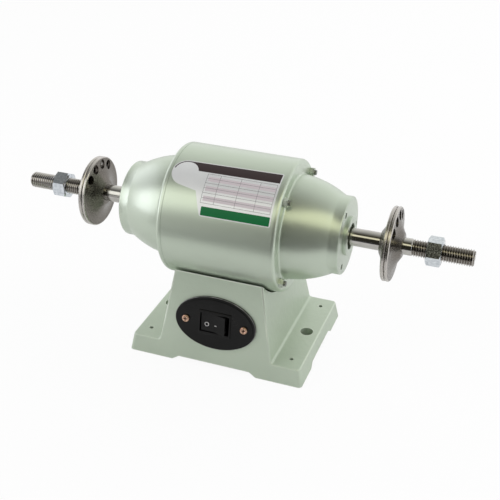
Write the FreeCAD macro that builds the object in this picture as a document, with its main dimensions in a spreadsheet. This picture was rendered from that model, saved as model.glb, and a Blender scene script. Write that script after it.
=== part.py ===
import FreeCAD, Part
import math
import os
import re
import Sketcher
from FreeCAD import Placement, Rotation, Vector

# Two-ended polishing lathe. X runs along the spindle, +X to the right-hand end,
# the switch side faces -Y, and Z is up from the bench.

# Driving sizes, in millimetres and degrees: name, value
SIZES = [
    # Spindle line and the whole machine
    ("axis_height", 135.8),
    ("overrun", 6.0),
    ("face_gap", 0.3),
    ("running_gap", 0.05),
    # Cast base
    ("base_width", 181.4),
    ("base_depth", 135.4),
    ("flange_height", 18.1),
    ("flange_side_run", 3.4),
    ("pedestal_foot_width", 117.0),
    ("pedestal_head_width", 89.7),
    ("pedestal_head_depth", 103.5),
    ("saddle_drop", 39.8),
    ("casting_wall", 5.5),
    ("plan_corner", 4.0),
    ("edge_round", 1.6),
    ("junction_round", 3.0),
    ("relief_height", 4.4),
    ("relief_ramp", 7.0),
    ("foot_gap_width", 74.0),
    ("foot_gap_depth", 55.0),
    ("bench_hole_inset", 16.2),
    ("bench_hole_diameter", 13.0),
    ("bench_boss_diameter", 22.0),
    ("screw_hole_inset", 18.3),
    ("screw_hole_diameter", 4.2),
    ("screw_boss_diameter", 12.0),
    ("saddle_gap", 2.0),
    ("saddle_wall", 5.0),
    ("land_inset", 15.0),
    ("land_width", 18.0),
    ("land_depth", 36.0),
    ("land_height", 10.6),
    # Bolts that hold the drum on the base
    ("mount_bolt_diameter", 8.0),
    ("mount_hole_gap", 0.3),
    ("mount_head_flats", 13.0),
    ("mount_head_height", 5.3),
    ("mount_washer_diameter", 16.0),
    ("mount_washer_thickness", 1.6),
    ("mount_nut_height", 6.5),
    ("lead_hole_reach", 27.0),
    ("lead_bush_diameter", 10.0),
    ("lead_bush_bore", 7.0),
    ("lead_bush_length", 18.0),
    # Bottom cover
    ("cover_side_margin", 32.7),
    ("cover_end_margin", 11.7),
    ("cover_corner", 6.0),
    ("cover_thickness", 1.5),
    ("cover_seat_height", 6.1),
    ("cover_screw_inset", 8.0),
    ("cover_boss_diameter", 10.0),
    ("cover_boss_top", 30.0),
    ("cover_screw_diameter", 4.0),
    ("cover_screw_length", 12.0),
    ("cover_screw_head", 7.6),
    ("cover_screw_head_height", 2.2),
    # Drum and end bells
    ("drum_radius", 64.2),
    ("drum_wall", 2.5),
    ("drum_reach", 53.0),
    ("ring_face", 58.5),
    ("ring_round", 3.5),
    ("ring_bore", 46.0),
    ("spigot_reach", 49.0),
    ("dome_root_radius", 50.5),
    ("root_round", 2.0),
    ("dome_crown_radius", 96.0),
    ("bell_wall", 4.5),
    ("neck_start", 101.5),
    ("neck_radius", 37.3),
    ("neck_face", 110.0),
    ("neck_round", 1.2),
    ("boss_radius", 18.5),
    ("boss_height", 3.0),
    ("boss_round", 0.8),
    ("shaft_hole_radius", 12.5),
    ("hub_face", 93.0),
    ("hub_radius", 36.5),
    # Through-bolts of the motor
    ("through_bolt_reach", 57.8),
    ("through_bolt_angle", 41.0),
    ("through_bolt_count", 4),
    ("through_bolt_diameter", 5.0),
    ("through_hole_gap", 0.25),
    ("through_nut_flats", 8.0),
    ("through_nut_height", 4.0),
    ("through_bolt_proud", 2.2),
    ("through_bolt_engagement", 7.0),
    ("through_tap_run_out", 0.5),
    # Ball bearings
    ("bearing_bore", 17.0),
    ("bearing_diameter", 40.0),
    ("bearing_width", 12.0),
    ("inner_ring_radius", 11.6),
    ("outer_ring_radius", 16.9),
    ("ball_pitch_radius", 14.25),
    ("ball_diameter", 6.747),
    ("groove_radius", 3.5),
    ("ball_count", 8),
    ("cage_half_width", 4.4),
    ("cage_inner_radius", 13.4),
    ("cage_outer_radius", 15.1),
    ("shield_thickness", 0.5),
    ("shield_inner_radius", 11.9),
    ("shield_inset", 0.5),
    ("spring_room", 1.5),
    ("spring_thickness", 0.6),
    ("spring_inner_radius", 16.8),
    # Inner bearing retainers and their screws
    ("retainer_thickness", 3.5),
    ("retainer_radius", 35.0),
    ("retainer_bore_radius", 15.0),
    ("retainer_screw_reach", 30.0),
    ("retainer_screw_angle", 115.0),
    ("retainer_screw_count", 3),
    ("retainer_screw_diameter", 3.0),
    ("retainer_screw_head", 5.4),
    ("retainer_screw_head_height", 3.0),
    ("retainer_recess_depth", 5.0),
    ("retainer_recess_diameter", 5.8),
    ("retainer_relief_depth", 0.4),
    # Spindle
    ("shaft_core_radius", 10.0),
    ("spindle_radius", 8.0),
    ("spindle_reach", 227.45),
    ("spindle_chamfer", 1.6),
    # Clamping flanges
    ("clamp_share", 0.340760),
    ("clamp_gap", 0.3),
    ("clamp_radius", 35.2),
    ("clamp_rim", 3.3),
    ("clamp_rim_round", 0.8),
    ("clamp_hub_radius", 11.5),
    ("clamp_height", 10.2),
    ("clamp_dish_radius", 40.0),
    ("clamp_land_radius", 33.2),
    ("clamp_relief", 1.0),
    ("clamp_hole_reach", 28.4),
    ("clamp_hole_diameter", 9.4),
    ("clamp_hole_start", 52.0),
    ("clamp_hole_step", 27.0),
    ("clamp_hole_count", 4),
    # Spindle nuts
    ("nut_share", 0.624727),
    ("nut_height", 14.0),
    ("nut_flats", 24.0),
    ("nut_crown_share", 0.97),
    ("dome_share", 0.45),
    ("recess_length_share", 0.55),
    ("recess_width_share", 0.14),
    ("nut_turn", 28.5),
    ("nut_turn_left", 58.5),
    # Motor
    ("stack_reach", 25.0),
    ("stator_bore_radius", 31.5),
    ("slot_count", 24),
    ("slot_mouth_width", 2.2),
    ("slot_width", 4.6),
    ("slot_floor_radius", 46.0),
    ("slot_roof_radius", 33.4),
    ("bolt_notch_gap", 0.7),
    ("winding_gap", 0.3),
    ("winding_inner_radius", 34.2),
    ("winding_outer_radius", 52.0),
    ("winding_reach", 44.0),
    ("winding_round", 5.0),
    ("air_gap", 0.3),
    ("bar_count", 18),
    ("bar_diameter", 4.4),
    ("bar_reach", 26.4),
    ("cage_ring_bore_radius", 19.0),
    ("cage_ring_thickness", 6.0),
    ("fin_count", 6),
    ("fin_height", 8.0),
    ("fin_thickness", 3.0),
    # Switch plate on the front slope
    ("switch_share", 0.357143),
    ("plate_width", 83.0),
    ("plate_height", 54.5),
    ("plate_lip", 2.0),
    ("plate_field_inset", 3.0),
    ("plate_thickness", 2.6),
    ("plate_round", 0.7),
    ("plate_screw_spacing", 60.0),
    ("plate_screw_diameter", 4.0),
    ("plate_screw_head", 7.4),
    ("plate_screw_head_height", 2.3),
    ("plate_screw_length", 12.0),
    # Rocker switch
    ("bezel_width", 32.8),
    ("bezel_depth", 25.0),
    ("bezel_height", 1.2),
    ("bezel_round", 0.8),
    ("rocker_well_width", 29.8),
    ("rocker_well_depth", 19.4),
    ("rocker_well_floor", 12.0),
    ("switch_body_width", 31.4),
    ("switch_body_depth", 22.4),
    ("switch_body_reach", 24.0),
    ("switch_window_gap", 3.0),
    ("pivot_depth", 3.3),
    ("pivot_diameter", 3.0),
    ("pivot_gap", 0.08),
    ("pivot_length", 0.9),
    ("rocker_half_length", 13.1),
    ("rocker_side_gap", 0.35),
    ("rocker_apex", 5.9),
    ("rocker_tilt", 9.0),
    ("rocker_heel", 3.0),
    ("rocker_keel", 6.5),
    ("terminal_width", 6.3),
    ("terminal_thickness", 0.8),
    ("terminal_length", 9.0),
    ("terminal_spacing", 9.0),
    ("terminal_row", 10.0),
    # Cord inlet in the rear slope
    ("inlet_height", 30.0),
    ("inlet_flange_diameter", 21.0),
    ("inlet_flange_thickness", 2.6),
    ("inlet_neck_diameter", 15.8),
    ("inlet_bore", 8.2),
    # Run capacitor, its clip and the terminal block
    ("capacitor_diameter", 30.0),
    ("capacitor_length", 56.0),
    ("capacitor_margin", 32.0),
    ("capacitor_rim", 1.2),
    ("clip_width", 14.0),
    ("clip_thickness", 1.0),
    ("clip_foot", 12.0),
    ("clip_screw_diameter", 3.5),
    ("clip_screw_head", 6.6),
    ("clip_screw_head_height", 2.0),
    ("block_length", 40.0),
    ("block_depth", 17.0),
    ("block_height", 14.0),
    ("block_offset", 38.0),
    ("block_hole_diameter", 4.0),
    ("block_hole_spacing", 10.0),
    ("block_hole_depth", 6.0),
]

doc = FreeCAD.newDocument("polishing_lathe")
sheet = doc.addObject("Spreadsheet::Sheet", "sizes")
for row, (name, value) in enumerate(SIZES, start=1):
    sheet.set("A%d" % row, name)
    sheet.set("B%d" % row, str(value))
    sheet.setAlias("B%d" % row, name)
doc.recompute()

NAMES = {name for name, value in SIZES}
SIDES = (("left", -1), ("right", 1))

# Sizes that follow from the driving ones
PEDESTAL_HEIGHT = "(axis_height - saddle_drop)"
SLOPE = "((base_depth - pedestal_head_depth) / (2 * %s))" % PEDESTAL_HEIGHT
SIDE_SLOPE = "((pedestal_foot_width - pedestal_head_width) / (2 * (%s - flange_height)))" % PEDESTAL_HEIGHT
FLANGE_TOP_WIDTH = "(base_width - 2 * flange_side_run)"
BENCH_REACH = "(base_width / 2 - bench_hole_inset)"
SCREW_REACH = "(base_depth / 2 - screw_hole_inset)"
COVER_WIDTH = "(base_width - 2 * cover_side_margin)"
COVER_DEPTH = "(base_depth - 2 * cover_end_margin)"
LAND_SEAT = "(axis_height - drum_radius - land_height)"
LAND_REACH = "(pedestal_foot_width / 2 - %s * (%s - flange_height) - land_inset)" % (SIDE_SLOPE, LAND_SEAT)
SWITCH_HEIGHT = "(axis_height * switch_share)"
SPINDLE_FREE = "(spindle_reach - neck_face - boss_height)"
CLAMP_PLANE = "(neck_face + boss_height + clamp_share * %s)" % SPINDLE_FREE
NUT_START = "(neck_face + boss_height + nut_share * %s)" % SPINDLE_FREE
DRUM_BORE = "(drum_radius - drum_wall)"
BEARING_RADIUS = "(bearing_diameter / 2)"
BEARING_MIDDLE = "(hub_face + bearing_width / 2)"
SHOULDER = "(hub_face + bearing_width + spring_room)"
BEZEL_TOP = "(plate_thickness + bezel_height)"
CLIP_SCREW_REACH = "(capacitor_diameter / 2 + clip_foot / 2)"
SEAT_RISE = "(axis_height - sqrt(%s * %s - mount_head_flats * mount_head_flats))" % (DRUM_BORE, DRUM_BORE)
THROUGH_END = "(ring_face + through_nut_height + through_bolt_proud)"
SCREW_SPOTS = [(side + BENCH_REACH, end + SCREW_REACH) for side in "-+" for end in "-+"]
COVER_REACH = "(%s / 2 - cover_screw_inset)" % COVER_WIDTH
COVER_SETBACK = "(%s / 2 - cover_screw_inset)" % COVER_DEPTH
COVER_SPOTS = [(side + COVER_REACH, end + COVER_SETBACK) for side in "-+" for end in "-+"]
CAPACITOR_HEIGHT = "(cover_seat_height + capacitor_diameter / 2)"
CAPACITOR_SETBACK = "(%s / 2 - capacitor_margin)" % COVER_DEPTH
BLOCK_SETBACK = "(%s - block_offset)" % CAPACITOR_SETBACK

nodes = []


def bound(text):
    """Write a sum of size names as an expression on the sheet."""
    return re.sub(r"[a-z][a-z_]+", lambda word: "sizes." + word[0] if word[0] in NAMES else word[0], text)


def size(text):
    """Work out a sum of size names."""
    return float(sheet.evalExpression(text))


def vary(thing, **sums):
    """Bind properties of an object to sums of size names."""
    for name, text in sums.items():
        thing.setExpression(name.replace("__", "."), bound(text))


def new_body(name):
    """Start the body of one sub-part."""
    body = doc.addObject("PartDesign::Body", name)
    body.Label = name
    return body


def keep(body):
    """Add a finished sub-part to the assembly."""
    nodes.append(body)


def plane(body, role):
    """Find an origin plane or axis of a body."""
    return next(item for item in body.Origin.OriginFeatures if item.Role == role)


def new_sketch(body, name, role="XZ_Plane", offset=None, turn=None, origin=None):
    """Attach a sketch to an origin plane of its body, moved along its normal or in it, or turned."""
    sketch = body.newObject("Sketcher::SketchObject", body.Name + "_" + name)
    sketch.AttachmentSupport = (plane(body, role), [""])
    sketch.MapMode = "FlatFace"
    if turn:
        sketch.AttachmentOffset = Placement(Vector(), Rotation(Vector(0, 0, 1), 1))
        vary(sketch, AttachmentOffset__Rotation__Angle=turn)
    if offset:
        vary(sketch, AttachmentOffset__Base__z=offset)
    if origin:
        vary(sketch, AttachmentOffset__Base__x=origin[0], AttachmentOffset__Base__y=origin[1])
    return sketch


def pin_point(sketch, geometry, end, across, up):
    """Fix one point of a sketch at its two sums."""
    for kind, axis, text in (("DistanceX", -2, across), ("DistanceY", -1, up)):
        value = size(text)
        if text == "0":
            sketch.addConstraint(Sketcher.Constraint("PointOnObject", geometry, end, axis))
            continue
        index = sketch.addConstraint(Sketcher.Constraint(kind, -1, 1, geometry, end, value))
        sketch.setExpression("Constraints[%d]" % index, bound(text))


def outline(sketch, corners):
    """Draw a closed outline. A corner is (across, up), or (across, up, bend) where an arc of that
    radius leads to the next corner, bulging to the right of the way round, or left with '<' first."""
    spots = [Vector(size(corner[0]), size(corner[1]), 0) for corner in corners]
    ends = []
    for place, corner in enumerate(corners):
        start = spots[place]
        stop = spots[(place + 1) % len(corners)]
        if len(corner) == 2:
            geometry = sketch.addGeometry(Part.LineSegment(start, stop))
            ends.append((geometry, 1, 2))
            continue
        left = corner[2].startswith("<")
        text = corner[2].lstrip("<")
        radius = size(text)
        middle = (start + stop) * 0.5
        chord = stop - start
        rise = math.sqrt(max(radius ** 2 - (chord.Length / 2) ** 2, 0))
        normal = Vector(-chord.y, chord.x, 0).normalize()
        centre = middle - normal * rise if left else middle + normal * rise
        first, last = (stop, start) if left else (start, stop)
        circle = Part.Circle(centre, Vector(0, 0, 1), radius)
        arc = Part.ArcOfCircle(circle, circle.parameter(first), circle.parameter(last))
        geometry = sketch.addGeometry(arc)
        index = sketch.addConstraint(Sketcher.Constraint("Radius", geometry, radius))
        sketch.setExpression("Constraints[%d]" % index, bound(text))
        ends.append((geometry, 2, 1) if left else (geometry, 1, 2))
    for place, corner in enumerate(corners):
        after = ends[(place + 1) % len(corners)]
        geometry, start, stop = ends[place]
        sketch.addConstraint(Sketcher.Constraint("Coincident", geometry, stop, after[0], after[1]))
        pin_point(sketch, geometry, start, corner[0], corner[1])


def circle(sketch, across, up, radius):
    """Draw a circle."""
    value = size(radius)
    shape = Part.Circle(Vector(size(across), size(up), 0), Vector(0, 0, 1), value)
    geometry = sketch.addGeometry(shape)
    pin_point(sketch, geometry, 3, across, up)
    index = sketch.addConstraint(Sketcher.Constraint("Radius", geometry, value))
    sketch.setExpression("Constraints[%d]" % index, bound(radius))


def rectangle(sketch, width, height, across="0", up="0"):
    """Draw a rectangle about its middle."""
    low, high = across + " - %s / 2" % width, across + " + %s / 2" % width
    down, top = up + " - %s / 2" % height, up + " + %s / 2" % height
    outline(sketch, [(low, down), (high, down), (high, top), (low, top)])


def hexagon(sketch, flats, turn="0", across="0", up="0"):
    """Draw a hexagon about a point; a flat's normal stands at the turn."""
    reach = "(%s / 2 / cos(30))" % flats
    corners = []
    for step in range(6):
        angle = "(%s + %d)" % (turn, 30 + 60 * step)
        corner = ("%s + %s * cos(%s)" % (across, reach, angle), "%s + %s * sin(%s)" % (up, reach, angle))
        corners.append(corner)
    outline(sketch, corners)


def feature(body, kind, sketch, tag):
    """Add a sketch-based feature."""
    thing = body.newObject("PartDesign::" + kind, "%s_%s" % (body.Name, tag))
    thing.Profile = sketch
    return thing


def pad(body, sketch, tag, length, both=False, back=False):
    """Pad a sketch, to one side or about its plane."""
    thing = feature(body, "Pad", sketch, tag)
    vary(thing, Length=length)
    thing.Midplane = both
    thing.Reversed = back
    return thing


def carve(body, kind, sketch, tag, setting):
    """Cut with a sketch, and make sure that it took material away."""
    doc.recompute()
    before = body.Tip.Shape.Volume
    thing = feature(body, kind, sketch, tag)
    setting(thing)
    doc.recompute()
    if thing.Shape.Volume >= before:
        raise RuntimeError(thing.Name + " cuts nothing")
    return thing


def pocket(body, sketch, tag, length=None, both=False, back=False):
    """Pocket a sketch to a depth, or through all both ways where no depth is given."""
    def setting(thing):
        if length is None:
            thing.Type = "ThroughAll"
            thing.Midplane = True
        else:
            vary(thing, Length=length)
            thing.Midplane = both
            thing.Reversed = back
    return carve(body, "Pocket", sketch, tag, setting)


def revolve(body, sketch, tag="turned", axis="H_Axis"):
    """Turn a profile about an axis of its sketch."""
    thing = feature(body, "Revolution", sketch, tag)
    thing.ReferenceAxis = (sketch, [axis])
    thing.Angle = 360
    return thing


def groove(body, sketch, tag, axis="H_Axis"):
    """Cut with a profile turned about an axis of its sketch."""
    def setting(thing):
        thing.ReferenceAxis = (sketch, [axis])
        thing.Angle = 360
    return carve(body, "Groove", sketch, tag, setting)


def polar(body, originals, tag, count, axis="X_Axis", angle=None):
    """Repeat features about an origin axis, all round or over an angle."""
    doc.recompute()
    thing = body.newObject("PartDesign::PolarPattern", "%s_%s" % (body.Name, tag))
    thing.Originals = originals
    thing.Axis = (plane(body, axis), [""])
    thing.Angle = 360
    if angle:
        vary(thing, Angle=angle)
    vary(thing, Occurrences=count)
    body.Tip = thing
    doc.recompute()
    return thing


def mirror(body, originals, tag, role):
    """Mirror features in an origin plane."""
    doc.recompute()
    thing = body.newObject("PartDesign::Mirrored", "%s_%s" % (body.Name, tag))
    thing.Originals = originals
    thing.MirrorPlane = (plane(body, role), [""])
    body.Tip = thing
    doc.recompute()
    return thing


def round_edges(body, tag, radius, wanted):
    """Round the edges of the body's last shape that the test picks."""
    doc.recompute()
    last = body.Tip
    picked = ["Edge%d" % (place + 1) for place, edge in enumerate(last.Shape.Edges) if wanted(edge)]
    thing = body.newObject("PartDesign::Fillet", "%s_%s" % (body.Name, tag))
    thing.Base = (last, picked)
    vary(thing, Radius=radius)
    doc.recompute()
    return thing


def samples(edge):
    """Points along an edge."""
    return [edge.valueAt(edge.FirstParameter + share * (edge.LastParameter - edge.FirstParameter))
            for share in (0.0, 0.25, 0.5, 0.75, 1.0)]


def on_spindle(body, side=1):
    """Set a body, made about its own X axis, on the spindle line; the left one faces the other way."""
    if side < 0:
        body.Placement = Placement(Vector(), Rotation(Vector(0, 0, 1), 180))
    vary(body, Placement__Base__z="axis_height")


def on_slope(thing, height, front=True, lift="0"):
    """Set something made on its own XY plane on the front or rear slope of the base, facing out."""
    facing = 1 if front else -1
    thing.Placement = Placement(Vector(), Rotation(Vector(facing, 0, 0), 80))
    depth = "(base_depth / 2 - %s * %s + (%s) * cos(atan(%s)))" % (SLOPE, height, lift, SLOPE)
    if front:
        depth = "-" + depth
    rise = "%s + (%s) * sin(atan(%s))" % (height, lift, SLOPE)
    vary(thing, Placement__Rotation__Angle="atan(1 / %s)" % SLOPE, Placement__Base__y=depth,
         Placement__Base__z=rise)


def slope_sketch(body, name, height, front=True):
    """Start a sketch on the outer face of the front or rear slope of the base."""
    sketch = body.newObject("Sketcher::SketchObject", name)
    on_slope(sketch, height, front)
    return sketch


# Cast base

def base_form(body, inset, saddle):
    """Outer or inner form of the base: a stepped front outline between two slopes, under the saddle."""
    outer = inset == "0"
    sketch = new_sketch(body, "front_outline")
    foot = "0" if outer else "-overrun"
    shoulder = "(flange_height - %s)" % inset
    right = [
        ("base_width / 2 - %s" % inset, foot),
        ("%s / 2 - %s" % (FLANGE_TOP_WIDTH, inset), shoulder),
        ("pedestal_foot_width / 2 - %s + junction_round" % inset, shoulder, "<junction_round"),
        ("pedestal_foot_width / 2 - %s - junction_round * %s" % (inset, SIDE_SLOPE),
         shoulder + " + junction_round"),
        ("pedestal_head_width / 2 - %s" % inset, PEDESTAL_HEIGHT),
    ]
    left = []
    for corner in reversed(right):
        left.append(("-(%s)" % corner[0], corner[1]))
    left[1] = left[1] + ("<junction_round",)
    outline(sketch, right + left)
    pad(body, sketch, "block", "base_depth", both=True)
    sketch = new_sketch(body, "slopes", "YZ_Plane")
    low = "(base_depth / 2 - %s + %s * overrun)" % (inset, SLOPE)
    high = "(base_depth / 2 - %s - %s * (%s + overrun))" % (inset, SLOPE, PEDESTAL_HEIGHT)
    far = "(base_depth / 2 + overrun)"
    top = "(%s + overrun)" % PEDESTAL_HEIGHT
    outline(sketch, [(low, "-overrun"), (far, "-overrun"), (far, top), (high, top)])
    outline(sketch, [("-" + low, "-overrun"), ("-" + high, top), ("-" + far, top), ("-" + far, "-overrun")])
    pocket(body, sketch, "slope_cut")
    if outer:
        round_edges(body, "plan_corners", "plan_corner", flange_corner)
        round_edges(body, "edges", "edge_round", outline_edge)
    sketch = new_sketch(body, "saddle", "YZ_Plane")
    circle(sketch, "0", "axis_height", saddle)
    pocket(body, sketch, "saddle_cut")


def flange_corner(edge):
    """The four upright corners of the base flange."""
    points = samples(edge)
    rise = max(p.z for p in points) - min(p.z for p in points)
    outside = min(abs(p.x) for p in points) > size("pedestal_foot_width") / 2
    return outside and rise > size("flange_height") * 0.8


def outline_edge(edge):
    """The outer edges of the two slopes and of the flange top."""
    points = samples(edge)
    slope = size(SLOPE)
    off = max(abs(size("base_depth") / 2 - slope * p.z - abs(p.y)) for p in points)
    highest = max(p.z for p in points)
    lowest = min(p.z for p in points)
    near = size("edge_round") * 0.01
    level = highest - lowest < near
    on_top = level and abs(highest - size("flange_height")) < near
    at_side = min(abs(p.x) for p in points) > size("(pedestal_foot_width + %s) / 4" % FLANGE_TOP_WIDTH)
    if on_top and at_side:
        return True
    if off > near or highest < near or lowest > size(PEDESTAL_HEIGHT) - near:
        return False
    return not (level and abs(lowest) < near) and min(abs(p.x) for p in points) > near


def base_casting():
    body = new_body("base_casting")
    base_form(body, "0", "drum_radius + saddle_gap")
    core = new_body("base_core")
    base_form(core, "casting_wall", "drum_radius + saddle_gap + saddle_wall")
    doc.recompute()
    hollow = body.newObject("PartDesign::Boolean", "base_hollow")
    hollow.setObjects([core])
    hollow.Type = "Cut"
    doc.recompute()
    # Bosses inside: bench bolts, screws, cover screws and the two lands that carry the drum
    sketch = new_sketch(body, "bench_boss_plan", "XY_Plane", "relief_height")
    for side in "-+":
        circle(sketch, side + BENCH_REACH, "0", "bench_boss_diameter / 2")
    pad(body, sketch, "bench_bosses", "flange_height - relief_height - casting_wall / 2")
    sketch = new_sketch(body, "screw_boss_plan", "XY_Plane")
    for across, up in SCREW_SPOTS:
        circle(sketch, across, up, "screw_boss_diameter / 2")
    pad(body, sketch, "screw_bosses", "flange_height - casting_wall / 2")
    sketch = new_sketch(body, "cover_boss_plan", "XY_Plane", "cover_seat_height")
    for across, up in COVER_SPOTS:
        circle(sketch, across, up, "cover_boss_diameter / 2")
    pad(body, sketch, "cover_bosses", "cover_boss_top - cover_seat_height")
    sketch = new_sketch(body, "land_plan", "XY_Plane", LAND_SEAT)
    for side in "-+":
        rectangle(sketch, "land_width", "land_depth", side + LAND_REACH)
    top = "(axis_height - sqrt(drum_radius * drum_radius - land_depth * land_depth / 4))"
    pad(body, sketch, "lands", top + " - " + LAND_SEAT)
    sketch = new_sketch(body, "land_seat", "YZ_Plane")
    circle(sketch, "0", "axis_height", "drum_radius")
    pocket(body, sketch, "land_seats")
    # Holes
    sketch = new_sketch(body, "bench_hole_plan", "XY_Plane")
    for side in "-+":
        circle(sketch, side + BENCH_REACH, "0", "bench_hole_diameter / 2")
    for across, up in SCREW_SPOTS:
        circle(sketch, across, up, "screw_hole_diameter / 2")
    pocket(body, sketch, "bench_holes")
    sketch = new_sketch(body, "cover_hole_plan", "XY_Plane", "cover_seat_height")
    for across, up in COVER_SPOTS:
        circle(sketch, across, up, "cover_screw_diameter / 2")
    pocket(body, sketch, "cover_holes", "cover_screw_length", back=True)
    sketch = new_sketch(body, "mount_hole_plan", "XY_Plane", LAND_SEAT + " - overrun")
    for side in "-+":
        circle(sketch, side + LAND_REACH, "0", "mount_bolt_diameter / 2 + mount_hole_gap")
    circle(sketch, LAND_REACH, "lead_hole_reach", "lead_bush_diameter / 2")
    pocket(body, sketch, "mount_holes", "axis_height - drum_radius", back=True)
    # Foot pads stay at the corners; the rim between them is cut up to the relief
    for role, gap, tag in (("XZ_Plane", "foot_gap_width", "front"), ("YZ_Plane", "foot_gap_depth", "side")):
        sketch = new_sketch(body, tag + "_relief", role)
        outline(sketch, [
            ("-%s / 2 - relief_ramp * (1 + overrun / relief_height)" % gap, "-overrun"),
            ("%s / 2 + relief_ramp * (1 + overrun / relief_height)" % gap, "-overrun"),
            ("%s / 2" % gap, "relief_height"),
            ("-%s / 2" % gap, "relief_height"),
        ])
        pocket(body, sketch, tag + "_relief_cut")
    # Switch window, its screw holes and the cord inlet
    sketch = slope_sketch(body, "switch_window", SWITCH_HEIGHT)
    rectangle(sketch, "(switch_body_width + switch_window_gap)", "(switch_body_depth + switch_window_gap)")
    pocket(body, sketch, "switch_window_cut", "casting_wall + overrun")
    sketch = slope_sketch(body, "switch_screw_plan", SWITCH_HEIGHT)
    for side in "-+":
        circle(sketch, side + "plate_screw_spacing / 2", "0", "plate_screw_diameter / 2")
    pocket(body, sketch, "switch_screw_holes", "casting_wall + overrun")
    sketch = slope_sketch(body, "inlet_plan", "inlet_height", front=False)
    circle(sketch, "0", "0", "inlet_neck_diameter / 2")
    pocket(body, sketch, "inlet_hole", "casting_wall + overrun")
    keep(body)


def bottom_cover():
    body = new_body("bottom_cover")
    sketch = new_sketch(body, "plan", "XY_Plane", "cover_seat_height - cover_thickness")
    rectangle(sketch, COVER_WIDTH, COVER_DEPTH)
    pad(body, sketch, "plate", "cover_thickness")
    round_edges(body, "corners", "cover_corner", upright_edge)
    sketch = new_sketch(body, "holes", "XY_Plane", "cover_seat_height")
    for across, up in COVER_SPOTS:
        circle(sketch, across, up, "cover_screw_diameter / 2 + running_gap")
    for end in "-+":
        spot = "%s %s %s" % (CAPACITOR_SETBACK, end, CLIP_SCREW_REACH)
        circle(sketch, "0", spot, "clip_screw_diameter / 2")
    pocket(body, sketch, "hole_cut")
    keep(body)


def upright_edge(edge):
    """Edges that stand upright."""
    run = edge.valueAt(edge.LastParameter) - edge.valueAt(edge.FirstParameter)
    return math.hypot(run.x, run.y) < abs(run.z) * 0.01


def screws(name, spots, shank, length, head, head_height):
    """Cross-recess screws as one body: each stands on z = 0 of the body with its shank below."""
    body = new_body(name)
    sketch = new_sketch(body, "shank_plan", "XY_Plane", "-(%s)" % length)
    for across, up in spots:
        circle(sketch, across, up, shank + " / 2")
    pad(body, sketch, "shanks", length)
    sketch = new_sketch(body, "head_plan", "XY_Plane")
    for across, up in spots:
        circle(sketch, across, up, head + " / 2")
    pad(body, sketch, "heads", head_height)
    round_edges(body, "domes", head_height + " * dome_share",
                lambda edge: min(p.z for p in samples(edge)) > size(head_height) * 0.99)
    long, short = head + " * recess_length_share", head + " * recess_width_share"
    for tag, width, height in (("slot_one", long, short), ("slot_two", short, long)):
        sketch = new_sketch(body, tag + "_plan", "XY_Plane", head_height)
        for across, up in spots:
            rectangle(sketch, width, height, across, up)
        pocket(body, sketch, tag, head_height + " / 2")
    return body


def cover_screws():
    body = screws("cover_screws", COVER_SPOTS, "cover_screw_diameter", "cover_screw_length - face_gap",
                  "cover_screw_head", "cover_screw_head_height")
    body.Placement = Placement(Vector(), Rotation(Vector(1, 0, 0), 180))
    vary(body, Placement__Base__z="cover_seat_height - cover_thickness")
    keep(body)


# Drum and end bells

def drum_shell():
    body = new_body("drum_shell")
    sketch = new_sketch(body, "wall")
    rectangle(sketch, "(2 * drum_reach)", "drum_wall", "0", "drum_radius - drum_wall / 2")
    revolve(body, sketch)
    sketch = new_sketch(body, "bolt_plan", "XY_Plane")
    for side in "-+":
        circle(sketch, side + LAND_REACH, "0", "mount_bolt_diameter / 2 + mount_hole_gap")
    circle(sketch, LAND_REACH, "lead_hole_reach", "lead_bush_diameter / 2")
    pocket(body, sketch, "bolt_holes", "drum_radius + overrun")
    on_spindle(body)
    keep(body)


def bolt_spot(turn="through_bolt_angle"):
    """Place of a through-bolt about the spindle."""
    return "through_bolt_reach * cos(%s)" % turn, "through_bolt_reach * sin(%s)" % turn


def screw_spot():
    """Place of the first retainer screw about the spindle."""
    turn = "(retainer_screw_angle)"
    return "retainer_screw_reach * cos" + turn, "retainer_screw_reach * sin" + turn


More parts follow.
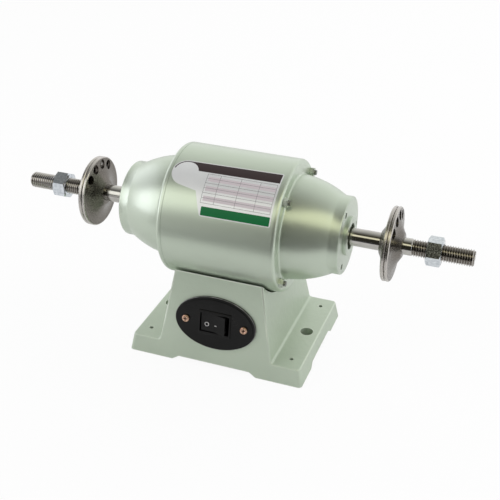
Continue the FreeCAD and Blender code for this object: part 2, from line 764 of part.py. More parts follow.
def end_bell(name, side):
    """Turned casting: ring over the drum's end, domed cone, neck round the bearing and raised boss."""
    body = new_body("end_bell_" + name)
    sketch = new_sketch(body, "profile")
    outline(sketch, [
        ("drum_reach", "drum_radius"),
        ("drum_reach", DRUM_BORE + " - running_gap"),
        ("spigot_reach", DRUM_BORE + " - running_gap"),
        ("spigot_reach", "ring_bore"),
        ("ring_face", "ring_bore", "<dome_crown_radius - bell_wall"),
        ("hub_face", "hub_radius"),
        ("hub_face", BEARING_RADIUS),
        (SHOULDER, BEARING_RADIUS),
        (SHOULDER, "shaft_hole_radius"),
        ("neck_face + boss_height", "shaft_hole_radius"),
        ("neck_face + boss_height", "boss_radius - boss_round", "boss_round"),
        ("neck_face + boss_height - boss_round", "boss_radius"),
        ("neck_face", "boss_radius"),
        ("neck_face", "neck_radius - neck_round", "neck_round"),
        ("neck_face - neck_round", "neck_radius"),
        ("neck_start", "neck_radius", "dome_crown_radius"),
        ("ring_face + root_round", "dome_root_radius", "<root_round"),
        ("ring_face", "dome_root_radius + root_round"),
        ("ring_face", "drum_radius - ring_round", "ring_round"),
        ("ring_face - ring_round", "drum_radius"),
    ])
    revolve(body, sketch)
    if side > 0:
        sketch = new_sketch(body, "bolt_plan", "YZ_Plane", "drum_reach")
        circle(sketch, *bolt_spot(), "through_bolt_diameter / 2 + through_hole_gap")
        hole = pocket(body, sketch, "bolt_hole")
    else:
        sketch = new_sketch(body, "bolt_plan", "YZ_Plane", "spigot_reach")
        circle(sketch, *bolt_spot("(180 - through_bolt_angle)"), "through_bolt_diameter / 2 + running_gap")
        hole = pocket(body, sketch, "bolt_hole", "through_bolt_engagement + through_tap_run_out", back=True)
    polar(body, [hole], "bolt_holes", "through_bolt_count")
    sketch = new_sketch(body, "screw_plan", "YZ_Plane", "neck_face")
    circle(sketch, *screw_spot(), "retainer_screw_diameter / 2 + running_gap")
    hole = pocket(body, sketch, "screw_hole", "neck_face - hub_face + overrun")
    sketch = new_sketch(body, "recess_plan", "YZ_Plane", "neck_face")
    circle(sketch, *screw_spot(), "retainer_recess_diameter / 2")
    recess = pocket(body, sketch, "screw_recess", "retainer_recess_depth")
    polar(body, [hole, recess], "screw_holes", "retainer_screw_count")
    on_spindle(body, side)
    keep(body)


def bearing_retainer(name, side):
    body = new_body("bearing_retainer_" + name)
    sketch = new_sketch(body, "profile")
    outline(sketch, [
        ("hub_face - retainer_thickness", "retainer_bore_radius"),
        ("hub_face", "retainer_bore_radius"),
        ("hub_face", "retainer_radius"),
        ("hub_face - retainer_thickness", "retainer_radius"),
    ])
    revolve(body, sketch)
    sketch = new_sketch(body, "relief")
    outline(sketch, [
        ("hub_face - retainer_relief_depth", "0"),
        ("hub_face + overrun", "0"),
        ("hub_face + overrun", "outer_ring_radius + running_gap"),
        ("hub_face - retainer_relief_depth", "outer_ring_radius + running_gap"),
    ])
    groove(body, sketch, "inner_relief")
    sketch = new_sketch(body, "screw_plan", "YZ_Plane", "hub_face")
    circle(sketch, *screw_spot(), "retainer_screw_diameter / 2")
    hole = pocket(body, sketch, "screw_hole", "retainer_thickness + overrun")
    polar(body, [hole], "screw_holes", "retainer_screw_count")
    on_spindle(body, side)
    keep(body)


def retainer_screws(name, side):
    """Cap-head screws sunk in the neck's face, threaded into the inner retainer."""
    body = new_body("retainer_screws_" + name)
    seat = "(neck_face - retainer_recess_depth)"
    sketch = new_sketch(body, "shank_plan", "YZ_Plane", "hub_face - retainer_thickness")
    circle(sketch, *screw_spot(), "retainer_screw_diameter / 2")
    shank = pad(body, sketch, "shank", seat + " - hub_face + retainer_thickness")
    sketch = new_sketch(body, "head_plan", "YZ_Plane", seat)
    circle(sketch, *screw_spot(), "retainer_screw_head / 2")
    head = pad(body, sketch, "head", "retainer_screw_head_height")
    sketch = new_sketch(body, "key_plan", "YZ_Plane", seat + " + retainer_screw_head_height")
    circle(sketch, *screw_spot(), "retainer_screw_head / 4")
    key = pocket(body, sketch, "key", "retainer_screw_head_height / 2")
    polar(body, [shank, head, key], "set", "retainer_screw_count")
    on_spindle(body, side)
    keep(body)


def through_bolts():
    """Four long studs, screwed into the left bell from inside, that pull both bells onto the drum."""
    body = new_body("through_bolts")
    start = "(spigot_reach + through_bolt_engagement)"
    sketch = new_sketch(body, "plan", "YZ_Plane", "-" + start)
    circle(sketch, *bolt_spot(), "through_bolt_diameter / 2")
    rod = pad(body, sketch, "rod", "%s + %s" % (start, THROUGH_END))
    polar(body, [rod], "rods", "through_bolt_count")
    on_spindle(body)
    keep(body)


def through_bolt_nuts():
    """Hexagon nuts on the studs, against the right bell's ring."""
    body = new_body("through_bolt_nuts")
    across, up = bolt_spot()
    sketch = new_sketch(body, "plan", "YZ_Plane", "ring_face")
    hexagon(sketch, "through_nut_flats", "(through_bolt_angle - 30)", across, up)
    circle(sketch, across, up, "through_bolt_diameter / 2 + running_gap")
    nut = pad(body, sketch, "nut", "through_nut_height")
    polar(body, [nut], "nuts", "through_bolt_count")
    on_spindle(body)
    keep(body)


def mount_bolts():
    """Two hexagon bolts with washers, from below through the lands into the drum."""
    body = new_body("mount_bolts")
    length = "(drum_wall + land_height + mount_nut_height + mount_washer_thickness)"
    under_washer = "(%s - mount_washer_thickness)" % LAND_SEAT
    sketch = new_sketch(body, "head_plan", "XY_Plane", under_washer + " - mount_head_height")
    hexagon(sketch, "mount_head_flats", across=LAND_REACH)
    head = pad(body, sketch, "head", "mount_head_height")
    sketch = new_sketch(body, "washer_plan", "XY_Plane", under_washer)
    circle(sketch, LAND_REACH, "0", "mount_washer_diameter / 2")
    washer = pad(body, sketch, "washer", "mount_washer_thickness")
    sketch = new_sketch(body, "shank_plan", "XY_Plane", under_washer)
    circle(sketch, LAND_REACH, "0", "mount_bolt_diameter / 2")
    shank = pad(body, sketch, "shank", length)
    mirror(body, [head, washer, shank], "pair", "YZ_Plane")
    keep(body)


def mount_nuts():
    """Weld nuts inside the drum that take the mount bolts."""
    body = new_body("mount_nuts")
    sketch = new_sketch(body, "plan", "XY_Plane", "axis_height - drum_radius")
    hexagon(sketch, "mount_head_flats", across=LAND_REACH)
    circle(sketch, LAND_REACH, "0", "mount_bolt_diameter / 2 + running_gap")
    nut = pad(body, sketch, "nut", "drum_wall + mount_nut_height")
    sketch = new_sketch(body, "seat", "YZ_Plane")
    outline(sketch, [
        ("-mount_head_flats", "axis_height - drum_radius - overrun"),
        ("mount_head_flats", "axis_height - drum_radius - overrun"),
        ("mount_head_flats", SEAT_RISE, "<" + DRUM_BORE),
        ("-mount_head_flats", SEAT_RISE),
    ])
    seat = pocket(body, sketch, "seat_cut")
    mirror(body, [nut, seat], "pair", "YZ_Plane")
    keep(body)


def lead_bush():
    """Insulating bush for the motor leads, through the saddle and the drum wall."""
    body = new_body("lead_bush")
    sketch = new_sketch(body, "plan", "XY_Plane", "axis_height - drum_radius - saddle_gap - saddle_wall / 2")
    circle(sketch, LAND_REACH, "lead_hole_reach", "lead_bush_diameter / 2 - running_gap")
    circle(sketch, LAND_REACH, "lead_hole_reach", "lead_bush_bore / 2")
    pad(body, sketch, "tube", "lead_bush_length")
    keep(body)


# Motor

def stator_core():
    """Laminated stack with 24 slots, notched for the through-bolts."""
    body = new_body("stator_core")
    sketch = new_sketch(body, "ring", "YZ_Plane")
    circle(sketch, "0", "0", DRUM_BORE)
    circle(sketch, "0", "0", "stator_bore_radius")
    pad(body, sketch, "stack", "2 * stack_reach", both=True)
    sketch = new_sketch(body, "slot_plan", "YZ_Plane")
    mouth, width = "slot_mouth_width / 2", "slot_width / 2"
    throat = "slot_roof_radius - " + mouth
    outline(sketch, [
        ("stator_bore_radius - overrun", "-" + mouth), (throat, "-" + mouth),
        ("slot_roof_radius", "-" + width), ("slot_floor_radius", "-" + width),
        ("slot_floor_radius", width), ("slot_roof_radius", width),
        (throat, mouth), ("stator_bore_radius - overrun", mouth),
    ])
    slot = pocket(body, sketch, "slot")
    polar(body, [slot], "slots", "slot_count")
    sketch = new_sketch(body, "notch_plan", "YZ_Plane")
    circle(sketch, *bolt_spot(), "through_bolt_diameter / 2 + bolt_notch_gap")
    polar(body, [pocket(body, sketch, "notch")], "notches", "through_bolt_count")
    on_spindle(body)
    keep(body)


def stator_windings():
    """Copper in the slots and the laced end turns on both sides."""
    body = new_body("stator_windings")
    near = "(stack_reach + winding_gap)"
    sketch = new_sketch(body, "end_profile")
    outline(sketch, [
        (near, "winding_inner_radius"),
        ("winding_reach - winding_round", "winding_inner_radius", "winding_round"),
        ("winding_reach", "winding_inner_radius + winding_round"),
        ("winding_reach", "winding_outer_radius - winding_round", "winding_round"),
        ("winding_reach - winding_round", "winding_outer_radius"),
        (near, "winding_outer_radius"),
    ])
    turns = revolve(body, sketch, "end_turns")
    mirror(body, [turns], "both_ends", "YZ_Plane")
    sketch = new_sketch(body, "coil_plan", "YZ_Plane")
    width = "(slot_width / 2 - winding_gap)"
    outline(sketch, [
        ("slot_roof_radius + slot_mouth_width / 2", "-" + width),
        ("slot_floor_radius - winding_gap", "-" + width),
        ("slot_floor_radius - winding_gap", width),
        ("slot_roof_radius + slot_mouth_width / 2", width),
    ])
    coil = pad(body, sketch, "coil", "2 * %s + winding_gap" % near, both=True)
    polar(body, [coil], "coils", "slot_count")
    on_spindle(body)
    keep(body)


def rotor_core():
    body = new_body("rotor_core")
    sketch = new_sketch(body, "ring", "YZ_Plane")
    circle(sketch, "0", "0", "stator_bore_radius - air_gap")
    circle(sketch, "0", "0", "shaft_core_radius")
    pad(body, sketch, "stack", "2 * stack_reach", both=True)
    sketch = new_sketch(body, "bar_plan", "YZ_Plane")
    circle(sketch, "bar_reach", "0", "bar_diameter / 2")
    polar(body, [pocket(body, sketch, "bar_hole")], "bar_holes", "bar_count")
    on_spindle(body)
    keep(body)


def rotor_cage():
    """Cast aluminium cage: bars, end rings and the small cooling fins on each ring."""
    body = new_body("rotor_cage")
    end = "(stack_reach + cage_ring_thickness)"
    sketch = new_sketch(body, "ring_profile")
    outer = "(stator_bore_radius - air_gap * 2)"
    rectangle(sketch, "cage_ring_thickness", "(%s - cage_ring_bore_radius)" % outer,
              "stack_reach + cage_ring_thickness / 2", "(%s + cage_ring_bore_radius) / 2" % outer)
    ring = revolve(body, sketch, "ring")
    mirror(body, [ring], "rings", "YZ_Plane")
    sketch = new_sketch(body, "fin_plan", "YZ_Plane")
    rectangle(sketch, "(%s - cage_ring_bore_radius)" % outer, "fin_thickness",
              "(%s + cage_ring_bore_radius) / 2 - fin_thickness / 4" % outer)
    fin = pad(body, sketch, "fin", "2 * (%s + fin_height)" % end, both=True)
    polar(body, [fin], "fins", "fin_count")
    sketch = new_sketch(body, "core_room")
    room = "(stator_bore_radius + overrun)"
    rectangle(sketch, "(2 * stack_reach)", room, "0", room + " / 2")
    groove(body, sketch, "core_room_cut")
    sketch = new_sketch(body, "bar_plan", "YZ_Plane")
    circle(sketch, "bar_reach", "0", "bar_diameter / 2")
    bar = pad(body, sketch, "bar", "2 * stack_reach + cage_ring_thickness", both=True)
    polar(body, [bar], "bars", "bar_count")
    on_spindle(body)
    keep(body)


# Spindle and what turns with it

def both_ways(corners):
    """Complete an outline with its mirror image across the middle."""
    return corners + [("-(%s)" % across, up) for across, up in reversed(corners)]


def shaft():
    body = new_body("shaft")
    sketch = new_sketch(body, "profile")
    corners = [
        ("hub_face", "shaft_core_radius"),
        ("hub_face", "bearing_bore / 2"),
        (CLAMP_PLANE, "bearing_bore / 2"),
        (CLAMP_PLANE, "spindle_radius"),
        ("spindle_reach - spindle_chamfer", "spindle_radius"),
        ("spindle_reach", "spindle_radius - spindle_chamfer"),
        ("spindle_reach", "0"),
    ]
    outline(sketch, both_ways(corners))
    revolve(body, sketch)
    on_spindle(body)
    keep(body)


def clamp_flange(name, side, inner):
    """Dished clamping flange: rim land towards its partner, hollowed face, cone rising to the hub.

    The loose one on the left stands one hole further round than its partner.
    """
    body = new_body(("flange_inner_" if inner else "flange_outer_") + name)
    face = CLAMP_PLANE if inner else "(%s + clamp_gap)" % CLAMP_PLANE
    sign = "-" if inner else "+"
    bore = "bearing_bore / 2" if inner else "spindle_radius + running_gap"

    def out(depth):
        return "%s %s (%s)" % (face, sign, depth)

    bend = "<" if inner else ""
    sketch = new_sketch(body, "profile")
    outline(sketch, [
        (out("clamp_relief"), bore),
        (out("clamp_relief"), "clamp_land_radius"),
        (out("0"), "clamp_land_radius"),
        (out("0"), "clamp_radius - clamp_rim_round"),
        (out("clamp_rim_round"), "clamp_radius"),
        (out("clamp_rim - clamp_rim_round"), "clamp_radius"),
        (out("clamp_rim"), "clamp_radius - clamp_rim_round", bend + "clamp_dish_radius"),
        (out("clamp_height"), "clamp_hub_radius"),
        (out("clamp_height"), bore),
    ])
    revolve(body, sketch)
    fan = "clamp_hole_step * (clamp_hole_count - 1)"
    start = "(clamp_hole_start)" if side > 0 else "(180 - clamp_hole_start - %s)" % fan
    if side < 0 and not inner:
        start = "(%s + clamp_hole_step)" % start
    sketch = new_sketch(body, "hole_plan", "YZ_Plane", CLAMP_PLANE)
    circle(sketch, "clamp_hole_reach * cos(%s)" % start, "clamp_hole_reach * sin(%s)" % start,
           "clamp_hole_diameter / 2")
    hole = pocket(body, sketch, "hole")
    polar(body, [hole], "holes", "clamp_hole_count", angle=fan)
    on_spindle(body, side)
    keep(body)


def spindle_nut(name, side):
    """Hexagon nut with turned corners on both faces."""
    body = new_body("nut_" + name)
    sketch = new_sketch(body, "plan", "YZ_Plane", NUT_START)
    hexagon(sketch, "nut_flats", "nut_turn" if side > 0 else "nut_turn_left")
    circle(sketch, "0", "0", "spindle_radius + running_gap")
    pad(body, sketch, "block", "nut_height")
    sketch = new_sketch(body, "corner_profile")
    crown = "(nut_flats / 2 * nut_crown_share)"
    far = "(nut_flats / 2 + overrun)"
    drop = "((%s - %s) * tan(30))" % (far, crown)
    outline(sketch, [(NUT_START + " - overrun", crown), (NUT_START, crown), (NUT_START + " + " + drop, far),
                     (NUT_START + " - overrun", far)])
    end = "(%s + nut_height)" % NUT_START
    outline(sketch, [(end + " + overrun", far), (end + " - " + drop, far), (end, crown),
                     (end + " + overrun", crown)])
    groove(body, sketch, "corners")
    on_spindle(body, side)
    keep(body)


# Ball bearings

def ball_race(name, side, inner):
    """Inner or outer ring with its ball groove; the outer one stands in the bell's pocket."""
    body = new_body(("bearing_inner_" if inner else "bearing_outer_") + name)
    low, high = ("bearing_bore / 2", "inner_ring_radius") if inner else ("outer_ring_radius", BEARING_RADIUS)
    sketch = new_sketch(body, "profile")
    middle = "(%s + %s) / 2" % (high, low)
    rectangle(sketch, "bearing_width", "(%s - %s)" % (high, low), BEARING_MIDDLE, middle)
    revolve(body, sketch)
    sketch = new_sketch(body, "groove_plan")
    circle(sketch, BEARING_MIDDLE, "ball_pitch_radius", "groove_radius")
    groove(body, sketch, "groove")
    on_spindle(body, side)
    keep(body)


def bearing_shields(name, side):
    body = new_body("bearing_shields_" + name)
    sketch = new_sketch(body, "profile")
    for place in ("hub_face + shield_inset", "hub_face + bearing_width - shield_inset - shield_thickness"):
        rectangle(sketch, "shield_thickness", "(outer_ring_radius - shield_inner_radius)",
                  place + " + shield_thickness / 2", "(outer_ring_radius + shield_inner_radius) / 2")
    revolve(body, sketch)
    on_spindle(body, side)
    keep(body)


def preload_spring(name, side):
    """Coned washer that loads the bearing's outer ring against the shoulder."""
    body = new_body("preload_spring_" + name)
    seat = "(hub_face + bearing_width)"
    sketch = new_sketch(body, "profile")
    outline(sketch, [
        (seat, BEARING_RADIUS + " - face_gap"),
        (seat + " + spring_thickness", BEARING_RADIUS + " - face_gap"),
        (SHOULDER, "spring_inner_radius"),
        (SHOULDER + " - spring_thickness", "spring_inner_radius"),
    ])
    revolve(body, sketch)
    on_spindle(body, side)
    keep(body)


def balls(name, side):
    body = new_body("balls_" + name)
    sketch = new_sketch(body, "half_ball", origin=(BEARING_MIDDLE, "ball_pitch_radius"))
    outline(sketch, [
        ("-ball_diameter / 2", "0", "<ball_diameter / 2"),
        ("0", "ball_diameter / 2", "<ball_diameter / 2"),
        ("ball_diameter / 2", "0"),
    ])
    ball = revolve(body, sketch, "ball")
    polar(body, [ball], "set", "ball_count")
    on_spindle(body, side)
    keep(body)


def ball_cage(name, side):
    body = new_body("ball_cage_" + name)
    sketch = new_sketch(body, "profile")
    rectangle(sketch, "(2 * cage_half_width)", "(cage_outer_radius - cage_inner_radius)", BEARING_MIDDLE,
              "(cage_outer_radius + cage_inner_radius) / 2")
    revolve(body, sketch)
    sketch = new_sketch(body, "pocket_plan", "XY_Plane", "cage_inner_radius - overrun / 2")
    circle(sketch, BEARING_MIDDLE, "0", "groove_radius")
    hole = pocket(body, sketch, "pocket", "overrun", back=True)
    polar(body, [hole], "pockets", "ball_count")
    on_spindle(body, side)
    keep(body)


# Switch on the front slope

def ellipse_plate(body, tag, inset, start, height):
    """Pad an ellipse, smaller all round by an inset."""
    sketch = new_sketch(body, tag, "XY_Plane", start)
    wide, tall = "(plate_width / 2 - %s)" % inset, "(plate_height / 2 - %s)" % inset
    centre, along, across = Vector(), Vector(size(wide), 0, 0), Vector(0, size(tall), 0)
    geometry = sketch.addGeometry(Part.Ellipse(along, across, centre))
    sketch.exposeInternalGeometry(geometry)
    sketch.addConstraint(Sketcher.Constraint("Coincident", geometry, 3, -1, 1))
    sketch.addConstraint(Sketcher.Constraint("PointOnObject", geometry + 1, 1, -1))
    for line, text in ((geometry + 1, wide), (geometry + 2, tall)):
        index = sketch.addConstraint(Sketcher.Constraint("Distance", line, 2 * size(text)))
        sketch.setExpression("Constraints[%d]" % index, bound("2 * " + text))
    return pad(body, sketch, tag + "_pad", height)


def switch_plate():
    """Oval plastic plate: low lip, raised field, window for the switch and two screw holes."""
    body = new_body("switch_plate")
    ellipse_plate(body, "lip", "0", "0", "plate_lip")
    round_edges(body, "lip_round", "plate_round",
                lambda edge: min(p.z for p in samples(edge)) > size("plate_lip / 2"))
    ellipse_plate(body, "field", "plate_field_inset", "0", "plate_thickness")
    sketch = new_sketch(body, "openings", "XY_Plane")
    rectangle(sketch, "(switch_body_width + running_gap * 2)", "(switch_body_depth + running_gap * 2)")
    for side in "-+":
        circle(sketch, side + "plate_screw_spacing / 2", "0", "plate_screw_diameter / 2 + running_gap")
    pocket(body, sketch, "openings_cut")
    on_slope(body, SWITCH_HEIGHT)
    keep(body)


def switch_plate_screws():
    spots = [(side + "plate_screw_spacing / 2", "0") for side in "-+"]
    body = screws("switch_plate_screws", spots, "plate_screw_diameter", "plate_screw_length",
                  "plate_screw_head", "plate_screw_head_height")
    on_slope(body, SWITCH_HEIGHT, lift="plate_thickness")
    keep(body)


def switch_housing():
    """Moulded body of the rocker switch: bezel, well for the rocker, pivot holes and closed contact block."""
    body = new_body("switch_housing")
    sketch = new_sketch(body, "bezel_plan", "XY_Plane", "plate_thickness")
    rectangle(sketch, "bezel_width", "bezel_depth")
    pad(body, sketch, "bezel", "bezel_height")
    round_edges(body, "bezel_edges", "bezel_round",
                lambda edge: min(p.z for p in samples(edge)) > size(BEZEL_TOP) * 0.999)
    sketch = new_sketch(body, "block_plan", "XY_Plane", "-switch_body_reach")
    rectangle(sketch, "switch_body_width", "switch_body_depth")
    pad(body, sketch, "block", "switch_body_reach + plate_thickness")
    sketch = new_sketch(body, "well_plan", "XY_Plane", BEZEL_TOP)
    rectangle(sketch, "rocker_well_width", "rocker_well_depth")
    pocket(body, sketch, "well", BEZEL_TOP + " + rocker_well_floor")
    sketch = new_sketch(body, "pivot_plan", "XZ_Plane")
    circle(sketch, "0", "-pivot_depth", "pivot_diameter / 2 + pivot_gap")
    pocket(body, sketch, "pivot_holes", "rocker_well_depth + pivot_length * 2 + pivot_gap * 2", both=True)
    on_slope(body, SWITCH_HEIGHT)
    keep(body)


def switch_rocker():
    """Rocker drawn level, then leaned over by its tilt so that its left half lies flush."""
    body = new_body("switch_rocker")
    rise = "(rocker_apex + rocker_half_length * tan(rocker_tilt))"
    sketch = new_sketch(body, "profile", turn="rocker_tilt")
    outline(sketch, [
        ("0", "rocker_apex"),
        ("-rocker_half_length", rise),
        ("-rocker_half_length + rocker_heel / 2", "-rocker_heel"),
        ("-rocker_heel", "-rocker_keel"),
        ("rocker_heel", "-rocker_keel"),
        ("rocker_half_length - rocker_heel / 2", "-rocker_heel"),
        ("rocker_half_length", rise),
    ])
    pad(body, sketch, "block", "rocker_well_depth - rocker_side_gap * 2", both=True)
    sketch = new_sketch(body, "pivot_plan")
    circle(sketch, "0", "0", "pivot_diameter / 2")
    pad(body, sketch, "pivots", "rocker_well_depth + pivot_length * 2", both=True)
    on_slope(body, SWITCH_HEIGHT, lift="-pivot_depth")
    keep(body)


def switch_terminals():
    body = new_body("switch_terminals")
    sketch = new_sketch(body, "plan", "XY_Plane", "-switch_body_reach - terminal_length")
    for side in "-+":
        for end in "-+":
            rectangle(sketch, "terminal_thickness", "terminal_width", side + "terminal_spacing / 2",
                      end + "terminal_row / 2")
    pad(body, sketch, "blades", "terminal_length")
    on_slope(body, SWITCH_HEIGHT)
    keep(body)


# Electrical parts inside the base

def cord_inlet():
    """Rubber inlet bush in the rear slope: flange outside, neck through the wall, lip inside."""
    body = new_body("cord_inlet")
    sketch = new_sketch(body, "profile")
    wall = "(casting_wall + running_gap)"
    neck = "(inlet_neck_diameter / 2 - running_gap)"
    outline(sketch, [
        ("inlet_bore / 2", "inlet_flange_thickness"),
        ("inlet_bore / 2", "-%s - inlet_flange_thickness" % wall),
        (neck + " + inlet_flange_thickness / 4", "-%s - inlet_flange_thickness" % wall),
        (neck + " + inlet_flange_thickness / 2", "-" + wall),
        (neck, "-" + wall),
        (neck, "0"),
        ("inlet_flange_diameter / 2", "0"),
        ("inlet_flange_diameter / 2", "inlet_flange_thickness / 2"),
        ("inlet_flange_diameter / 2 - inlet_flange_thickness / 2", "inlet_flange_thickness"),
    ])
    revolve(body, sketch, axis="V_Axis")
    on_slope(body, "inlet_height", front=False)
    keep(body)


def run_capacitor():
    """Round can lying along X on the bottom cover, with a crimped rim."""
    body = new_body("run_capacitor")
    half = "(capacitor_length / 2)"
    radius = "(capacitor_diameter / 2)"
    sketch = new_sketch(body, "profile")
    outline(sketch, [
        ("-" + half, "0"), ("-" + half, radius + " - capacitor_rim"),
        ("-%s + capacitor_rim" % half, radius), (half + " - capacitor_rim", radius),
        (half, radius + " - capacitor_rim"), (half, radius + " - capacitor_rim * 2"),
        (half + " - capacitor_rim", radius + " - capacitor_rim * 2"), (half + " - capacitor_rim", "0"),
    ])
    revolve(body, sketch)
    vary(body, Placement__Base__y=CAPACITOR_SETBACK, Placement__Base__z=CAPACITOR_HEIGHT)
    keep(body)


def capacitor_clip():
    """Sheet strap over the can, its two feet screwed to the bottom cover."""
    body = new_body("capacitor_clip")
    inner = "(capacitor_diameter / 2 + running_gap)"
    outer = "(capacitor_diameter / 2 + running_gap + clip_thickness)"
    foot = "(capacitor_diameter / 2 + clip_foot)"
    floor = "(-capacitor_diameter / 2)"
    sketch = new_sketch(body, "profile", "YZ_Plane")
    outline(sketch, [
        (foot, floor), (foot, floor + " + clip_thickness"), (outer, floor + " + clip_thickness"),
        (outer, "0", outer), ("0", outer, outer), ("-" + outer, "0"),
        ("-" + outer, floor + " + clip_thickness"), ("-" + foot, floor + " + clip_thickness"),
        ("-" + foot, floor), ("-" + inner, floor), ("-" + inner, "0", "<" + inner), ("0", inner, "<" + inner),
        (inner, "0"), (inner, floor),
    ])
    pad(body, sketch, "strap", "clip_width", both=True)
    sketch = new_sketch(body, "hole_plan", "XY_Plane", floor)
    for side in "-+":
        circle(sketch, "0", side + CLIP_SCREW_REACH, "clip_screw_diameter / 2 + running_gap")
    pocket(body, sketch, "holes", "clip_thickness + overrun", back=True)
    vary(body, Placement__Base__y=CAPACITOR_SETBACK, Placement__Base__z=CAPACITOR_HEIGHT)
    keep(body)


def clip_screws():
    spots = [("0", side + CLIP_SCREW_REACH) for side in "-+"]
    body = screws("clip_screws", spots, "clip_screw_diameter", "clip_thickness + cover_thickness",
                  "clip_screw_head", "clip_screw_head_height")
    vary(body, Placement__Base__y=CAPACITOR_SETBACK,
         Placement__Base__z="cover_seat_height + clip_thickness")
    keep(body)


def terminal_block():
    body = new_body("terminal_block")
    sketch = new_sketch(body, "plan", "XY_Plane")
    rectangle(sketch, "block_length", "block_depth")
    pad(body, sketch, "block", "block_height")
    sketch = new_sketch(body, "hole_plan", "XY_Plane", "block_height")
    for step in (-1.5, -0.5, 0.5, 1.5):
        for end in "-+":
            across = "%g * block_hole_spacing" % step
            circle(sketch, across, end + "block_depth / 4", "block_hole_diameter / 2")
    pocket(body, sketch, "holes", "block_hole_depth")
    vary(body, Placement__Base__y=BLOCK_SETBACK, Placement__Base__z="cover_seat_height")
    keep(body)


base_casting()
bottom_cover()
cover_screws()
drum_shell()
for word, way in SIDES:
    end_bell(word, way)
    bearing_retainer(word, way)
    retainer_screws(word, way)
through_bolts()
through_bolt_nuts()
mount_bolts()
mount_nuts()
lead_bush()
stator_core()
stator_windings()
rotor_core()
rotor_cage()
shaft()
for word, way in SIDES:
    ball_race(word, way, inner=True)
    ball_race(word, way, inner=False)
    bearing_shields(word, way)
    preload_spring(word, way)
    balls(word, way)
    ball_cage(word, way)
    clamp_flange(word, way, inner=True)
    clamp_flange(word, way, inner=False)
    spindle_nut(word, way)
switch_plate()
switch_plate_screws()
switch_housing()
switch_rocker()
switch_terminals()
cord_inlet()
run_capacitor()
capacitor_clip()
clip_screws()
terminal_block()

doc.recompute()
for thing in doc.Objects:
    if {"Invalid", "Error"} & set(thing.State):
        raise RuntimeError("%s failed: %s" % (thing.Name, thing.getStatusString()))
for thing in nodes:
    if thing.Shape.isNull() or not thing.Shape.isValid():
        raise RuntimeError(thing.Label + " has no valid shape")
os.makedirs("parts", exist_ok=True)
for thing in nodes:
    thing.Shape.exportStep("parts/%s.step" % thing.Label)
print(len(nodes), "sub-parts written")
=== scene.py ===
import math

import bmesh
import bpy
from mathutils import Matrix, Vector


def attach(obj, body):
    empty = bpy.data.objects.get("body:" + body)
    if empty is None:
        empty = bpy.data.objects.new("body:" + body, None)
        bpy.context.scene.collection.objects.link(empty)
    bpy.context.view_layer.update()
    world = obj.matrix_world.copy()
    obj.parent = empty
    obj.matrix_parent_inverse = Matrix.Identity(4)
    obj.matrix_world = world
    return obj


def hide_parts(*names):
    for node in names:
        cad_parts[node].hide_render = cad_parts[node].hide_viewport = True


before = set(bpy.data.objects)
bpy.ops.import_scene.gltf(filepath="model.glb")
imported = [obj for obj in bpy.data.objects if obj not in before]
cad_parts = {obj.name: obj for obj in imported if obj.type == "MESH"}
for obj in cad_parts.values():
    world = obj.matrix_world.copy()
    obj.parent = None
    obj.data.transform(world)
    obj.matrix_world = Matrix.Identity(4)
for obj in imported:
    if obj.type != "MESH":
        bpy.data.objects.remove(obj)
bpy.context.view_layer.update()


# Cast base
# Grey-iron pedestal, sand cast in one piece with its flange, saddle and foot pads.
# It is fettled, filled and sprayed with a thick sage enamel, a little uneven; its edges show thin paint and a
# painted highlight.
CREASE = math.radians(32)
WELD = 2e-6
FLAT_ANGLE = 0.005
NOISE_LOW = 0.3
NOISE_HIGH = 0.7
EDGE_WIDTH = 0.0016
EDGE_FIRST = 0.998
EDGE_FULL = 0.93


def shown(name, form):
    """Object from a finished form, round faces smooth and edges over the crease angle sharp."""
    for face in form.faces:
        face.smooth = True
    mesh = bpy.data.meshes.new(name)
    form.to_mesh(mesh)
    form.free()
    mesh.set_sharp_from_angle(angle=CREASE)
    piece = bpy.data.objects.new(name, mesh)
    bpy.context.scene.collection.objects.link(piece)
    return piece


def joined(node):
    """Form of a solid with its loose triangles joined and flat faces whole again."""
    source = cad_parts[node]
    form = bmesh.new()
    form.from_mesh(source.data)
    for layer in list(form.loops.layers.float_vector):
        form.loops.layers.float_vector.remove(layer)
    bmesh.ops.remove_doubles(form, verts=form.verts, dist=WELD)
    bmesh.ops.dissolve_limit(form, angle_limit=FLAT_ANGLE, verts=form.verts, edges=form.edges)
    for face in form.faces:
        face.material_index = 0
    return form


def dressed(piece, material, body, slot, *nodes):
    """Gives a piece its finish, the body it rides on and the solids it stands for, which it hides; slot is
    not used.
    """
    piece.data.materials.append(material)
    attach(piece, body)
    if nodes:
        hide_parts(*nodes)
    return piece


def even_shading(piece):
    """Keeps the light on large flat faces even right up to the rounds beside them."""
    even = piece.modifiers.new("even_shading", "WEIGHTED_NORMAL")
    even.keep_sharp = True
    return piece


def wiring(material):
    """Nodes of a material and the call that links their sockets."""
    return material.node_tree.nodes, material.node_tree.links.new


def ranged(nodes, link, value, start, end, low=0.0, high=1.0, smooth=False):
    """Straight or smooth change from low to high while a value goes from start to end."""
    change = nodes.new("ShaderNodeMapRange")
    if smooth:
        change.interpolation_type = "SMOOTHSTEP"
    for socket, number in (("From Min", start), ("From Max", end), ("To Min", low), ("To Max", high)):
        change.inputs[socket].default_value = number
    link(value, change.inputs["Value"])
    return change.outputs["Result"]


def mixed(nodes, link, share, first, second):
    """Mix of two colours by a share; each is a plain colour or a socket that gives one."""
    mix = nodes.new("ShaderNodeMix")
    mix.data_type = "RGBA"
    link(share, mix.inputs["Factor"])
    for socket, colour in (("A", first), ("B", second)):
        if isinstance(colour, tuple):
            mix.inputs[socket].default_value = colour + (1,)
        else:
            link(colour, mix.inputs[socket])
    return mix.outputs["Result"]


